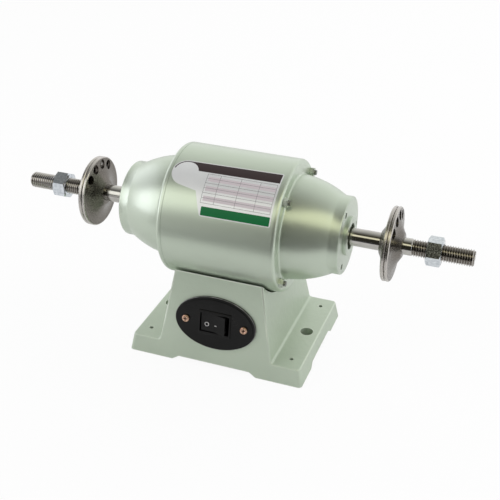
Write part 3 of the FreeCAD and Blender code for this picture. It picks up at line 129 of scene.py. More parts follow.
def noise(nodes, link, place, scale, detail):
    """Soft noise at a place."""
    cloud = nodes.new("ShaderNodeTexNoise")
    cloud.inputs["Scale"].default_value = scale
    cloud.inputs["Detail"].default_value = detail
    link(place, cloud.inputs["Vector"])
    return cloud.outputs["Fac"]


def finish(name, dark, light, roughness, metallic=0.0, patch=9.0, grain=900.0, relief=0.00002,
           stretch=(1, 1, 1), **sockets):
    """Finish that drifts between two shades in patches, with a fine grain in its gloss and relief."""
    material = bpy.data.materials.new(name)
    material.use_nodes = True
    nodes, link = wiring(material)
    shader = nodes["Principled BSDF"]
    shader.inputs["Metallic"].default_value = metallic
    for socket, value in sockets.items():
        shader.inputs[socket.replace("_", " ")].default_value = value
    place = nodes.new("ShaderNodeTexCoord").outputs["Object"]
    stretched = nodes.new("ShaderNodeMapping")
    stretched.inputs["Scale"].default_value = stretch
    link(place, stretched.inputs["Vector"])
    patches = ranged(nodes, link, noise(nodes, link, place, patch, 4), NOISE_LOW, NOISE_HIGH)
    link(mixed(nodes, link, patches, dark, light), shader.inputs["Base Color"])
    fine = noise(nodes, link, stretched.outputs["Vector"], grain, 3)
    link(ranged(nodes, link, fine, NOISE_LOW, NOISE_HIGH, *roughness), shader.inputs["Roughness"])
    bump = nodes.new("ShaderNodeBump")
    bump.inputs["Distance"].default_value = relief
    link(fine, bump.inputs["Height"])
    link(bump.outputs["Normal"], shader.inputs["Normal"])
    return material


def worn_and_highlit_edges(material, wear_and_highlight, most):
    """Lightens a finish where a normal rounded over an edge leaves the true one, by the share called most:
    thin paint and painted highlight.
    """
    nodes, link = wiring(material)
    rounded = nodes.new("ShaderNodeBevel")
    rounded.samples = 4
    rounded.inputs["Radius"].default_value = EDGE_WIDTH
    bend = nodes.new("ShaderNodeVectorMath")
    bend.operation = "DOT_PRODUCT"
    link(rounded.outputs["Normal"], bend.inputs[0])
    link(nodes.new("ShaderNodeNewGeometry").outputs["Normal"], bend.inputs[1])
    share = ranged(nodes, link, bend.outputs["Value"], EDGE_FIRST, EDGE_FULL, 0.0, most)
    link(mixed(nodes, link, share, nodes["Mix"].outputs["Result"], wear_and_highlight),
         nodes["Principled BSDF"].inputs["Base Color"])


casting_enamel = finish("casting_enamel", (0.48, 0.555, 0.45), (0.53, 0.61, 0.495), (0.34, 0.44),
                        metallic=0.35, patch=14.0, grain=220.0, relief=0.00022,
                        Coat_Weight=0.25, Coat_Roughness=0.22)
# Lighter edges on the casting: partly paint worn thin, partly a painted highlight.
worn_and_highlit_edges(casting_enamel, (0.80, 0.85, 0.76), 0.75)
even_shading(dressed(shown("cast_base", joined("base_casting")), casting_enamel, "frame", "base_paint",
                     "base_casting"))


# Bottom cover and its screws
# Flat steel sheet with cropped corners that closes the hollow of the base from below.
# Four pan-head screws hold it in cast bosses; sheet and screws are zinc plated.
zinc = finish("zinc_plate", (0.58, 0.62, 0.66), (0.76, 0.80, 0.84), (0.07, 0.16), metallic=1.0, patch=160.0,
              grain=2600.0, relief=0.000004)
sheet_steel = finish("sheet_steel", (0.50, 0.51, 0.52), (0.60, 0.61, 0.62), (0.3, 0.45), metallic=1.0,
                     patch=30.0, grain=1500.0, relief=0.000008, stretch=(0.05, 1, 1))
even_shading(dressed(shown("base_cover", joined("bottom_cover")), sheet_steel, "frame", "sheet_steel",
                     "bottom_cover"))
dressed(shown("base_screws", joined("cover_screws")), zinc, "frame", "zinc_plate", "cover_screws")


# Drum fixings
# Two hexagon bolts from inside the base pass through its lands into nuts welded in the drum.
# A rubber bush beside one of them guards the motor leads where they leave the drum.
rubber = finish("black_rubber", (0.02, 0.02, 0.02), (0.035, 0.034, 0.033), (0.6, 0.8),
                grain=1200.0, relief=0.00003)
dressed(shown("drum_bolts", joined("mount_bolts")), zinc, "frame", "zinc_plate", "mount_bolts")
dressed(shown("drum_nuts", joined("mount_nuts")), zinc, "frame", "zinc_plate", "mount_nuts")
dressed(shown("lead_grommet", joined("lead_bush")), rubber, "frame", "rubber", "lead_bush")


# Stator
# Stack of punched electrical-steel sheets pressed in the drum, with the copper coils in its slots.
# The coils' end turns are taped, shaped and dipped in varnish.
laminations = finish("laminations", (0.16, 0.165, 0.175), (0.30, 0.31, 0.33), (0.35, 0.5), metallic=1.0,
                     grain=2000.0, relief=0.00004, stretch=(1, 0.02, 0.02))
varnished_copper = finish("varnished_copper", (0.36, 0.12, 0.04), (0.62, 0.27, 0.10), (0.25, 0.4),
                          metallic=0.8, grain=600.0, relief=0.0003, stretch=(3, 1, 1), Coat_Weight=0.5)
dressed(shown("stator_stack", joined("stator_core")), laminations, "frame", "lamination_steel", "stator_core")
dressed(shown("stator_coils", joined("stator_windings")), varnished_copper, "frame", "copper_wire",
        "stator_windings")


# Rotor
# Stack of round sheets on the spindle with a cage of bars, end rings and fins cast in aluminium.
# The stack is ground true on the outside after casting.
cast_aluminium = finish("cast_aluminium", (0.55, 0.56, 0.57), (0.68, 0.69, 0.70), (0.35, 0.5), metallic=1.0,
                        grain=500.0, relief=0.00006)
dressed(shown("rotor_stack", joined("rotor_core")), laminations, "rotor", "lamination_steel", "rotor_core")
dressed(shown("rotor_bars", joined("rotor_cage")), cast_aluminium, "rotor", "cage_aluminium", "rotor_cage")


# Ball bearings
# One at each end: ground rings, eight balls in a machined brass cage and two pressed shields.
# A coned spring washer behind the outer ring keeps the pair free of play.
ground_steel = finish("ground_steel", (0.62, 0.63, 0.64), (0.72, 0.73, 0.74), (0.06, 0.14), metallic=1.0,
                      grain=1500.0, relief=0.000003, stretch=(0.3, 1, 1))
spring_steel = finish("spring_steel", (0.28, 0.27, 0.27), (0.42, 0.41, 0.41), (0.25, 0.4), metallic=1.0)
machined_brass = finish("machined_brass", (0.52, 0.38, 0.14), (0.68, 0.52, 0.22), (0.2, 0.34), metallic=1.0)
black_oxide = finish("black_oxide", (0.02, 0.02, 0.022), (0.045, 0.045, 0.048), (0.35, 0.5), metallic=0.6)
for side in ("left", "right"):
    for name, node, material, body, slot in (
            ("inner_ring_", "bearing_inner_", ground_steel, "rotor", "bearing_steel"),
            ("outer_ring_", "bearing_outer_", ground_steel, "frame", "bearing_steel"),
            ("bearing_balls_", "balls_", ground_steel, "ball_set_" + side, "bearing_steel"),
            ("brass_cage_", "ball_cage_", machined_brass, "ball_set_" + side, "cage_brass"),
            ("shields_", "bearing_shields_", sheet_steel, "frame", "sheet_steel"),
            ("spring_washer_", "preload_spring_", spring_steel, "frame", "spring_steel"),
            ("inner_cap_", "bearing_retainer_", zinc, "frame", "zinc_plate"),
            ("cap_screws_", "retainer_screws_", black_oxide, "frame", "black_screw")):
        dressed(shown(name + side, joined(node + side)), material, body, slot, node + side)


# Motor drum
# Steel sheet rolled into a tube round the stator, welded and turned true, then sprayed.
# The enamel is sage green with a fine aluminium flake, which gives it a satin, half-metallic sheen.
AXIS = 0.1358
DRUM_RADIUS = 0.0642
DRUM_REACH = 0.053
DRUM_WALL = 0.0025
DRUM_EDGE = 0.0003
STEPS = 128
CLOSE = 1e-6


def profile(form, points):
    """Chain of edges through (along the spindle, radius) points, above the spindle line."""
    verts = [form.verts.new((x, 0, AXIS + radius)) for x, radius in points]
    return verts + [form.edges.new(pair) for pair in zip(verts, verts[1:])]


def turned(form, points, steps=STEPS):
    """Skin that a profile sweeps in one turn about the spindle line."""
    bmesh.ops.spin(form, geom=profile(form, points), cent=(0, 0, AXIS), axis=(1, 0, 0), angle=math.tau,
                   steps=steps, use_merge=True)


def arc(start, end, radius, steps=6):
    """Points of the round between two points of a profile; a negative radius bulges the other way."""
    a, b = Vector(start), Vector(end)
    half = (b - a) / 2
    rise = math.sqrt(max(radius * radius - half.length_squared, 0))
    centre = a + half + Vector((-half.y, half.x)).normalized() * math.copysign(rise, radius)
    first = math.atan2(a.y - centre.y, a.x - centre.x)
    sweep = (math.atan2(b.y - centre.y, b.x - centre.x) - first + math.pi) % math.tau - math.pi
    return [(centre.x + abs(radius) * math.cos(first + sweep * step / steps),
             centre.y + abs(radius) * math.sin(first + sweep * step / steps)) for step in range(steps + 1)]


drum_enamel = finish("drum_enamel", (0.57, 0.645, 0.54), (0.60, 0.675, 0.57), (0.31, 0.35), metallic=0.78,
                     patch=5.0, grain=300.0, relief=0.000006, Coat_Weight=0.14, Coat_Roughness=0.15)
form = bmesh.new()
inner = DRUM_RADIUS - DRUM_WALL
turned(form, [(-DRUM_REACH, inner), (-DRUM_REACH, DRUM_RADIUS - DRUM_EDGE),
              (-DRUM_REACH + DRUM_EDGE, DRUM_RADIUS), (DRUM_REACH, DRUM_RADIUS), (DRUM_REACH, inner),
              (-DRUM_REACH, inner)])
bmesh.ops.remove_doubles(form, verts=form.verts, dist=CLOSE)
bmesh.ops.recalc_face_normals(form, faces=form.faces)
dressed(shown("motor_drum", form), drum_enamel, "frame", "drum_paint", "drum_shell")


# Rating plate
# Thin foil plate bent round the drum and glued on, printed with a dark heading, ruled rows and a green foot.
# It is left blank: its round tab is bare and its rows are empty.
FOIL_TOP = 0.00012
PRINT_FOOT = 0.0001
PRINT_TOP = 0.00016
ROW_TOP = 0.00014
RULE_TOP = 0.00017
DISC_TOP = 0.00018
FOIL, HEADING, FOOT, RULE, ROW = range(5)
TAB_CENTRE = (-0.0385, 0.0660)
TAB_RADIUS = 0.0138
TAB_INK_RADIUS = 0.0129
DISC_RADIUS = 0.0118
FOIL_ROUND = 0.0015
FOOT_ROUND = 0.0008
RULE_START = 0.0388
RULE_PITCH = 0.0048
RULE_COUNT = 7
RULE_WIDTH = 0.0003
RULE_ENDS = (-0.0165, 0.0505)
COLUMNS = (-0.0168, -0.0040, 0.0160, 0.0345, 0.0502)
COLUMN_END = 0.0679
BAND_START = 0.0410
BAND_COUNT = 3
BAND_ENDS = (-0.0150, 0.0500)
BEND_START = 0.0250
BEND_STEP = 0.0013
BEND_COUNT = 44
CUT = 1e-7


def parts_of(form):
    """Every vertex, edge and face of a form."""
    return form.verts[:] + form.edges[:] + form.faces[:]


def printed(form, points, low, high, ink, rounding=0.0, rounded=()):
    """Slab of foil or print: an outline of (along, round the drum) at a height above the drum."""
    verts = [form.verts.new((x, around, low)) for x, around in points]
    face = form.faces.new(verts)
    if rounded:
        bmesh.ops.bevel(form, geom=[verts[i] for i in rounded], offset=rounding, segments=5, profile=0.5,
                        affect="VERTICES", material=-1)
        face = [other for other in form.faces if all(v.is_boundary for v in other.verts) and
                abs(other.verts[0].co.z - low) < 1e-9][-1]
    slab = set(bmesh.ops.extrude_face_region(form, geom=[face])["geom"])
    for part in slab:
        if isinstance(part, bmesh.types.BMVert):
            part.co.z = high
    whole = {part for part in slab if isinstance(part, bmesh.types.BMFace)}
    for _ in range(2):
        whole |= {other for one in whole for edge in one.edges for other in edge.link_faces}
    for one in whole:
        one.material_index = ink


def printed_box(form, left, right, start, end, high, ink):
    """Printed oblong from left to right along the drum and from start to end round it."""
    printed(form, [(left, start), (right, start), (right, end), (left, end)], PRINT_FOOT, high, ink)


def tab_edge(radius, first, last, steps=20):
    """Points on the round tab's edge, angles in degrees round its centre."""
    angles = [math.radians(first + (last - first) * step / steps) for step in range(steps + 1)]
    return [(TAB_CENTRE[0] + radius * math.cos(angle), TAB_CENTRE[1] + radius * math.sin(angle))
            for angle in angles]


foil = finish("silver_foil", (0.72, 0.73, 0.73), (0.78, 0.79, 0.79), (0.3, 0.38), metallic=0.35, patch=40.0,
              grain=900.0, relief=0.000004)
heading_ink = finish("heading_ink", (0.022, 0.012, 0.013), (0.035, 0.018, 0.02), (0.28, 0.36), grain=900.0,
                     relief=0.000004)
foot_ink = finish("foot_ink", (0.0, 0.12, 0.03), (0.002, 0.15, 0.045), (0.28, 0.36), grain=900.0,
                  relief=0.000004, Specular_IOR_Level=0.25)
rule_ink = finish("rule_ink", (0.16, 0.15, 0.155), (0.22, 0.21, 0.215), (0.3, 0.4), grain=900.0,
                  relief=0.000004)
row_ink = finish("row_ink", (0.56, 0.50, 0.52), (0.62, 0.56, 0.58), (0.3, 0.4), grain=900.0, relief=0.000004)
form = bmesh.new()
outline = tab_edge(TAB_RADIUS, 91, 262)
corner = len(outline) + 1
outline += [(-0.0235, 0.0490), (-0.0154, 0.0266), (0.0524, 0.0274), (0.0524, 0.0816)]
printed(form, outline, 0.0, FOIL_TOP, FOIL, FOIL_ROUND, (corner, corner + 1, corner + 2))
printed(form, tab_edge(TAB_INK_RADIUS, 91, 168) + [(-0.0385, 0.0690), (0.0514, 0.0700), (0.0514, 0.0807)],
        PRINT_FOOT, PRINT_TOP, HEADING)
printed(form, [(-0.0148, 0.0276), (0.0512, 0.0282), (0.0512, 0.0366), (-0.0148, 0.0358)],
        PRINT_FOOT, PRINT_TOP, FOOT, FOOT_ROUND, (0, 1, 2, 3))
for band in range(BAND_COUNT):
    low = BAND_START + band * 2 * RULE_PITCH
    printed_box(form, *BAND_ENDS, low, low + RULE_PITCH, ROW_TOP, ROW)
for rule in range(RULE_COUNT):
    low = RULE_START + rule * RULE_PITCH
    printed_box(form, *RULE_ENDS, low, low + RULE_WIDTH, RULE_TOP, RULE)
for left in COLUMNS:
    printed_box(form, left, left + RULE_WIDTH, RULE_START, COLUMN_END, RULE_TOP, RULE)
printed(form, tab_edge(DISC_RADIUS, 0, 348, 47), PRINT_FOOT, DISC_TOP, FOIL)
for step in range(1, BEND_COUNT + 1):
    bmesh.ops.bisect_plane(form, geom=parts_of(form), dist=CUT, plane_no=(0, 1, 0),
                           plane_co=(0, BEND_START + step * BEND_STEP, 0))
for vert in form.verts:
    angle = vert.co.y / DRUM_RADIUS
    reach = DRUM_RADIUS + vert.co.z
    vert.co = (vert.co.x, -reach * math.cos(angle), AXIS + reach * math.sin(angle))
bmesh.ops.recalc_face_normals(form, faces=form.faces)
plate = dressed(shown("rating_plate", form), foil, "frame", "sheet_steel")
for ink in (heading_ink, foot_ink, rule_ink, row_ink):
    plate.data.materials.append(ink)


# End bells
# Turned aluminium castings with a ring over the drum's end, a domed cone, a neck and a raised boss.
# A spigot centres each in the drum; its pocket holds a ball bearing and its neck three sunk cap screws.
SPIGOT_END = 0.049
SPIGOT_RADIUS = 0.06165
SPIGOT_BORE = 0.046
RING_FACE = 0.0585
RING_ROUND = 0.0035
COVE = 0.002
DOME_FOOT = 0.0505
DOME_HEAD = 0.1015
DOME_ROUND = 0.096
HOLLOW_END = 0.093
HOLLOW_RADIUS = 0.0365
HOLLOW_ROUND = 0.0915
POCKET_END = 0.1065
POCKET_RADIUS = 0.020
NECK_FACE = 0.110
NECK_RADIUS = 0.0373
NECK_EDGE = 0.0012
BOSS_FACE = 0.113
BOSS_RADIUS = 0.0185
BOSS_BORE = 0.0125
BOSS_EDGE = 0.0008
SCREW_CIRCLE = 0.030
SCREW_HOLE = 0.0029
SCREW_HOLE_DEPTH = 0.005
SCREW_ANGLES = (115, 235, 355)
for side, turn in (("left", math.pi), ("right", 0.0)):
    form = bmesh.new()
    inside = [(DRUM_REACH, DRUM_RADIUS), (DRUM_REACH, SPIGOT_RADIUS), (SPIGOT_END, SPIGOT_RADIUS),
              (SPIGOT_END, SPIGOT_BORE), (RING_FACE, SPIGOT_BORE)]
    inside += arc((RING_FACE, SPIGOT_BORE), (HOLLOW_END, HOLLOW_RADIUS), -HOLLOW_ROUND, 12)[1:]
    inside += [(HOLLOW_END, POCKET_RADIUS), (POCKET_END, POCKET_RADIUS), (POCKET_END, BOSS_BORE),
               (BOSS_FACE, BOSS_BORE), (BOSS_FACE, BOSS_RADIUS - BOSS_EDGE)]
    boss = arc((BOSS_FACE, BOSS_RADIUS - BOSS_EDGE), (BOSS_FACE - BOSS_EDGE, BOSS_RADIUS), BOSS_EDGE)[1:]
    boss += [(NECK_FACE, BOSS_RADIUS), (NECK_FACE, NECK_RADIUS - NECK_EDGE)]
    neck = arc((NECK_FACE, NECK_RADIUS - NECK_EDGE), (NECK_FACE - NECK_EDGE, NECK_RADIUS), NECK_EDGE)[1:]
    dome = [(DOME_HEAD, NECK_RADIUS)]
    dome += arc((DOME_HEAD, NECK_RADIUS), (RING_FACE + COVE, DOME_FOOT), DOME_ROUND, 20)[1:]
    dome += arc((RING_FACE + COVE, DOME_FOOT), (RING_FACE, DOME_FOOT + COVE), -COVE)[1:]
    ring = arc((RING_FACE, DRUM_RADIUS - RING_ROUND), (RING_FACE - RING_ROUND, DRUM_RADIUS), RING_ROUND, 10)
    turned(form, inside + boss + neck + dome + ring + [(DRUM_REACH, DRUM_RADIUS)])
    bmesh.ops.remove_doubles(form, verts=form.verts, dist=CLOSE)
    bmesh.ops.recalc_face_normals(form, faces=form.faces)
    bmesh.ops.rotate(form, verts=form.verts, cent=(0, 0, 0), matrix=Matrix.Rotation(turn, 3, "Z"))
    bell = dressed(shown("bell_" + side, form), drum_enamel, "frame", "drum_paint", "end_bell_" + side)
    form = bmesh.new()
    for angle in map(math.radians, SCREW_ANGLES):
        spot = Vector((NECK_FACE, SCREW_CIRCLE * math.cos(angle), AXIS + SCREW_CIRCLE * math.sin(angle)))
        place = Matrix.Translation(spot) @ Matrix.Rotation(math.pi / 2, 4, "Y")
        bmesh.ops.create_cone(form, cap_ends=True, segments=32, radius1=SCREW_HOLE, radius2=SCREW_HOLE,
                              depth=2 * SCREW_HOLE_DEPTH, matrix=place)
    bmesh.ops.rotate(form, verts=form.verts, cent=(0, 0, 0), matrix=Matrix.Rotation(turn, 3, "Z"))
    drills = shown("drills", form)
    sunk = bell.modifiers.new("sunk_holes", "BOOLEAN")
    sunk.object = drills
    sunk.solver = "EXACT"
    cut = bpy.data.meshes.new_from_object(bell.evaluated_get(bpy.context.evaluated_depsgraph_get()))
    bell.modifiers.clear()
    bell.data = cut
    cut.set_sharp_from_angle(angle=CREASE)
    bpy.data.objects.remove(drills)


# Through-bolts
# Four long studs, screwed into the left bell from inside, pull the bells onto the drum.
# Their small hexagon nuts at the right were sprayed with the drum; the paint has chipped at edges and tips.
worn_tip = finish("worn_tip", (0.10, 0.10, 0.095), (0.42, 0.44, 0.40), (0.25, 0.45), metallic=1.0,
                  patch=900.0, grain=2600.0, relief=0.00003)
chipped_enamel = finish("chipped_enamel", (0.38, 0.42, 0.35), (0.68, 0.75, 0.64), (0.25, 0.4), metallic=0.6,
                        patch=420.0, grain=1500.0, relief=0.00003)
dressed(shown("bell_bolts", joined("through_bolts")), worn_tip, "frame", "zinc_plate", "through_bolts")
dressed(shown("bell_nuts", joined("through_bolt_nuts")), chipped_enamel, "frame", "drum_paint",
        "through_bolt_nuts")


# Spindle
# Ground steel bar, turned down to 16 mm at both ends and threaded; the left thread is left-handed.
# It was polished between centres, which leaves fine rings and a drilled centre in each end.
MIDDLE_END = 0.093
MIDDLE_RADIUS = 0.010
SEAT_END = 0.152
SEAT_RADIUS = 0.0085
THREAD_START = 0.170
THREAD_END = 0.22745
PITCH = 0.0023
CREST = 0.008
ROOT = 0.006773
RIDGE = ((0, CREST), (0.125, CREST), (0.479, ROOT), (0.646, ROOT))
RUN_IN = 0.0005
CHAMFER = 0.0016
SPINDLE_STEPS = 48
CENTRE_MOUTH = 0.0022
CENTRE_BORE = 0.0012
CENTRE_CONE = 0.22635
CENTRE_END = 0.2250
CENTRE_TIP = 0.2247
CENTRE_POINT = 0.00001
VALLEY = 0.0067
ON_CIRCLE = 2e-5


def rim(form, x, radius):
    """Open edges on the circle of that radius at x."""
    found = []
    for edge in form.edges:
        if edge.is_boundary and all(abs(v.co.x - x) < CLOSE for v in edge.verts):
            if all(abs(math.hypot(v.co.y, v.co.z - AXIS) - radius) < ON_CIRCLE for v in edge.verts):
                found.append(edge)
    return found


def combined(nodes, link, way, *values):
    """Sum, product or other result of numbers and sockets."""
    node = nodes.new("ShaderNodeMath")
    node.operation = way
    for socket, value in zip(node.inputs, values):
        if isinstance(value, (int, float)):
            socket.default_value = value
        else:
            link(value, socket)
    return node.outputs["Value"]


def place_parts(nodes, link):
    """X, Y and Z of a place on a piece."""
    apart = nodes.new("ShaderNodeSeparateXYZ")
    link(nodes["Texture Coordinate"].outputs["Object"], apart.inputs["Vector"])
    return apart.outputs


def radius_at(nodes, link, place):
    """Distance of a place from the spindle line."""
    flat = nodes.new("ShaderNodeCombineXYZ")
    link(place["Y"], flat.inputs["Y"])
    link(combined(nodes, link, "SUBTRACT", place["Z"], AXIS), flat.inputs["Z"])
    radius = nodes.new("ShaderNodeVectorMath")
    radius.operation = "LENGTH"
    link(flat.outputs["Vector"], radius.inputs[0])
    return radius.outputs["Value"]


def ringed(name, dark, light, roughness, rings, depth, axial=False, **sockets):
    """Turned or ground metal: fine rings round the spindle line, by radius or by place along it."""
    material = finish(name, dark, light, roughness, metallic=1.0, **sockets)
    nodes, link = wiring(material)
    place = place_parts(nodes, link)
    marks = nodes.new("ShaderNodeTexNoise")
    marks.noise_dimensions = "1D"
    marks.inputs["Scale"].default_value = rings
    marks.inputs["Detail"].default_value = 4
    link(place["X"] if axial else radius_at(nodes, link, place), marks.inputs["W"])
    cut = nodes.new("ShaderNodeBump")
    cut.inputs["Distance"].default_value = depth
    link(marks.outputs["Fac"], cut.inputs["Height"])
    link(nodes["Bump"].outputs["Normal"], cut.inputs["Normal"])
    link(cut.outputs["Normal"], nodes["Principled BSDF"].inputs["Normal"])
    return material


def painted_shade_by_radius(material, near, far, dark, past=None):
    """Lays painted shade, a darker tone, on a turned metal inside one radius, or round the radius called
    past.
    """
    nodes, link = wiring(material)
    distance = radius_at(nodes, link, place_parts(nodes, link))
    if past is not None:
        distance = combined(nodes, link, "ABSOLUTE", combined(nodes, link, "SUBTRACT", distance, past))
    share = ranged(nodes, link, distance, near, far, smooth=True)
    link(mixed(nodes, link, share, dark, nodes["Mix"].outputs["Result"]),
         nodes["Principled BSDF"].inputs["Base Color"])


spindle_steel = ringed("spindle_steel", (0.48, 0.465, 0.44), (0.60, 0.585, 0.555), (0.08, 0.15), 2400.0,
                       0.000010, axial=True, patch=60.0, grain=700.0, relief=0.000002)
# Painted shade in the thread valleys, darker round the valley radius; it also stands for oil and dirt there.
painted_shade_by_radius(spindle_steel, 0.0003, 0.0010, (0.24, 0.215, 0.19), VALLEY)
form = bmesh.new()
start = THREAD_START - 2 * PITCH
ridges = round((THREAD_END - start) / PITCH) + 2
bmesh.ops.spin(form, geom=profile(form, [(start + (ridge + share) * PITCH, radius) for ridge in range(ridges)
                                         for share, radius in RIDGE]),
               cent=(0, 0, AXIS), axis=(1, 0, 0), dvec=(PITCH / SPINDLE_STEPS, 0, 0), angle=math.tau,
               steps=SPINDLE_STEPS)
bmesh.ops.remove_doubles(form, verts=form.verts, dist=CLOSE)
for x, way in ((THREAD_START, -1), (THREAD_END, 1)):
    bmesh.ops.bisect_plane(form, geom=parts_of(form), dist=CUT, plane_co=(x, 0, 0), plane_no=(way, 0, 0),
                           clear_outer=True)
for vert in form.verts:
    radius = math.hypot(vert.co.y, vert.co.z - AXIS)
    run_out = CREST - (vert.co.x - THREAD_START) * (CREST - ROOT) / PITCH
    chamfer = CREST - max(0, vert.co.x - THREAD_END + CHAMFER)
    kept = min(max(radius, run_out), chamfer)
    vert.co.y *= kept / radius
    vert.co.z = AXIS + (vert.co.z - AXIS) * kept / radius
turned(form, [(0, MIDDLE_RADIUS), (MIDDLE_END, MIDDLE_RADIUS), (MIDDLE_END, SEAT_RADIUS),
              (SEAT_END, SEAT_RADIUS), (SEAT_END, CREST), (THREAD_START - RUN_IN, CREST)], SPINDLE_STEPS)
turned(form, [(THREAD_END, CENTRE_MOUTH), (CENTRE_CONE, CENTRE_BORE), (CENTRE_END, CENTRE_BORE),
              (CENTRE_TIP, CENTRE_POINT)], SPINDLE_STEPS)
for outer, inner in ((rim(form, THREAD_START, CREST), rim(form, THREAD_START - RUN_IN, CREST)),
                     (rim(form, THREAD_END, CREST - CHAMFER), rim(form, THREAD_END, CENTRE_MOUTH))):
    bmesh.ops.bridge_loops(form, edges=outer + inner)
bmesh.ops.mirror(form, geom=parts_of(form), axis="X", merge_dist=CLOSE)
bmesh.ops.holes_fill(form, edges=[edge for edge in form.edges if edge.is_boundary], sides=0)
bmesh.ops.recalc_face_normals(form, faces=form.faces)
dressed(shown("spindle", form), spindle_steel, "rotor", "spindle_steel", "shaft")


# Clamping flanges
# Dished steel discs, turned all over, that hold the wheel or buff between them.
# The inner one stands on the spindle's shoulder and the outer one is loose; four holes help to turn them.
turned_steel = ringed("turned_steel", (0.54, 0.515, 0.485), (0.62, 0.59, 0.56), (0.22, 0.32), 2600.0,
                      0.000035, patch=35.0, grain=1200.0, relief=0.000006)
# Painted shade: the flange faces are darker inside the rim, and the turned rims stay lighter.
painted_shade_by_radius(turned_steel, 0.0338, 0.0348, (0.20, 0.183, 0.163))
for side in ("left", "right"):
    for place, body in (("inner", "rotor"), ("outer", "flange_outer_" + side)):
        node = "flange_%s_%s" % (place, side)
        dressed(shown("clamp_%s_%s" % (place, side), joined(node)), turned_steel, body, "turned_flange", node)


# Spindle nuts
# Hexagon nuts, 24 mm across the flats, with both faces chamfered, plated in bright zinc.
# They run on the spindle's threads and draw the outer flange in.
scuffed_zinc = finish("scuffed_zinc", (0.54, 0.58, 0.62), (0.80, 0.84, 0.88), (0.06, 0.2), metallic=1.0,
                      patch=420.0, grain=900.0, relief=0.00001)
for side in ("left", "right"):
    dressed(shown("spindle_nut_" + side, joined("nut_" + side)), scuffed_zinc, "nut_" + side, "zinc_plate",
            "nut_" + side)


# Switch plate
# Oval moulding in black plastic with a raised field, on the front slope of the base.
# Two brassed cross-recess screws hold it; their recesses get painted shade.
PLATE_EASE = 0.0003
SHARP_ANGLE = 0.4
HIGHLIT_LOW = 0.2
HIGHLIT_HIGH = 0.93
SCREW_HEAD_HEIGHT = 0.0015
RECESS_RADIUS = 0.0021
RECESS_DEPTH = 0.00025
SLOPE_RISE = 0.98648
SLOPE_LEAN = 0.16390
out = Vector((0, -SLOPE_RISE, SLOPE_LEAN))
along = Vector((0, SLOPE_LEAN, SLOPE_RISE))


def eased(node, width):
    """Moulded copy of a solid, its sharp edges eased by a small round."""
    form = joined(node)
    sharp = [edge for edge in form.edges if edge.is_manifold and edge.calc_face_angle() > SHARP_ANGLE]
    bmesh.ops.bevel(form, geom=sharp, offset=width, segments=3, profile=0.5, affect="EDGES", material=-1,
                    clamp_overlap=True)
    return form


black_plastic = finish("black_plastic", (0.004, 0.004, 0.004), (0.007, 0.007, 0.007), (0.08, 0.16),
                       patch=60.0, grain=1600.0, relief=0.000006, Specular_IOR_Level=0.22)
# Light grey patches for the plate's rounded rim: a painted highlight.
painted_rim_highlight = finish("painted_rim_highlight", (0.004, 0.004, 0.004), (0.34, 0.34, 0.33), (0.1, 0.2),
                     patch=75.0, grain=1600.0, relief=0.000006, Specular_IOR_Level=0.6)
copper_brass = finish("copper_brass", (0.40, 0.21, 0.13), (0.80, 0.56, 0.42), (0.18, 0.3), metallic=1.0,
                      patch=500.0, grain=2600.0, relief=0.000006)
# Dark brown for the screws' cross recesses: painted shade.
painted_recess_shade = finish("painted_recess_shade", (0.035, 0.012, 0.008), (0.07, 0.025, 0.015), (0.4, 0.6), metallic=0.5,
                      patch=700.0, grain=2600.0)
form = eased("switch_plate", PLATE_EASE)
# Faces on the rounded rim, between the flat face and the side, get the painted highlight.
for face in form.faces:
    if HIGHLIT_LOW < face.normal.dot(out) < HIGHLIT_HIGH:
        face.material_index = 1
plate = dressed(shown("front_plate", form), black_plastic, "frame", "black_plastic", "switch_plate")
plate.data.materials.append(painted_rim_highlight)
even_shading(plate)
form = joined("switch_plate_screws")
# Faces deep in each screw's cross recess are painted dark as shade.
for way in (-1, 1):
    screw = [vert for vert in form.verts if vert.co.x * way > 0]
    top = max(vert.co.dot(out) for vert in screw)
    head = [vert for vert in screw if vert.co.dot(out) > top - SCREW_HEAD_HEIGHT]
    spot = [(min(value) + max(value)) / 2 for value in (
        [vert.co.x for vert in head], [vert.co.dot(along) for vert in head])]
    for face in form.faces:
        centre = face.calc_center_median()
        apart = math.hypot(centre.x - spot[0], centre.dot(along) - spot[1])
        if apart < RECESS_RADIUS and centre.dot(out) < top - RECESS_DEPTH:
            face.material_index = 1
screws = dressed(shown("front_screws", form), copper_brass, "frame", "brass_screw", "switch_plate_screws")
screws.data.materials.append(painted_recess_shade)


# Rocker switch
# Snap-in switch with a bezel, a rocker on two pivots and four blades behind.
# Its marks are the plain circle for off and bar for on, printed in white.
HOUSING_EASE = 0.0003
ROCKER_EASE = 0.00035
SWITCH_MIDDLE = (0, -0.059642, 0.0485)
MARK_HALF = 0.00005
CIRCLE_INNER = 0.00175
CIRCLE_OUTER = 0.00212
CIRCLE_PLACE = (-0.0081, -0.0020, 0.00253)
BAR_PLACE = (0.0011, -0.0019, 0.003182)
BAR_SIZE = (0.0022, 0.00045, 0.0001)
BAR_TILT = math.radians(-18)
switch_plastic = finish("switch_plastic", (0.004, 0.004, 0.004), (0.007, 0.007, 0.007), (0.12, 0.22),
                        patch=90.0, grain=1500.0, relief=0.000006, Specular_IOR_Level=0.22)
white_mark = finish("white_mark", (0.86, 0.86, 0.84), (0.92, 0.92, 0.90), (0.4, 0.5))
tinned = finish("tinned_brass", (0.52, 0.50, 0.42), (0.66, 0.64, 0.56), (0.25, 0.4), metallic=1.0)
even_shading(dressed(shown("switch_body", eased("switch_housing", HOUSING_EASE)), switch_plastic, "frame",
                     "switch_plastic", "switch_housing"))
even_shading(dressed(shown("switch_key", eased("switch_rocker", ROCKER_EASE)), switch_plastic, "rocker",
                     "switch_plastic", "switch_rocker"))
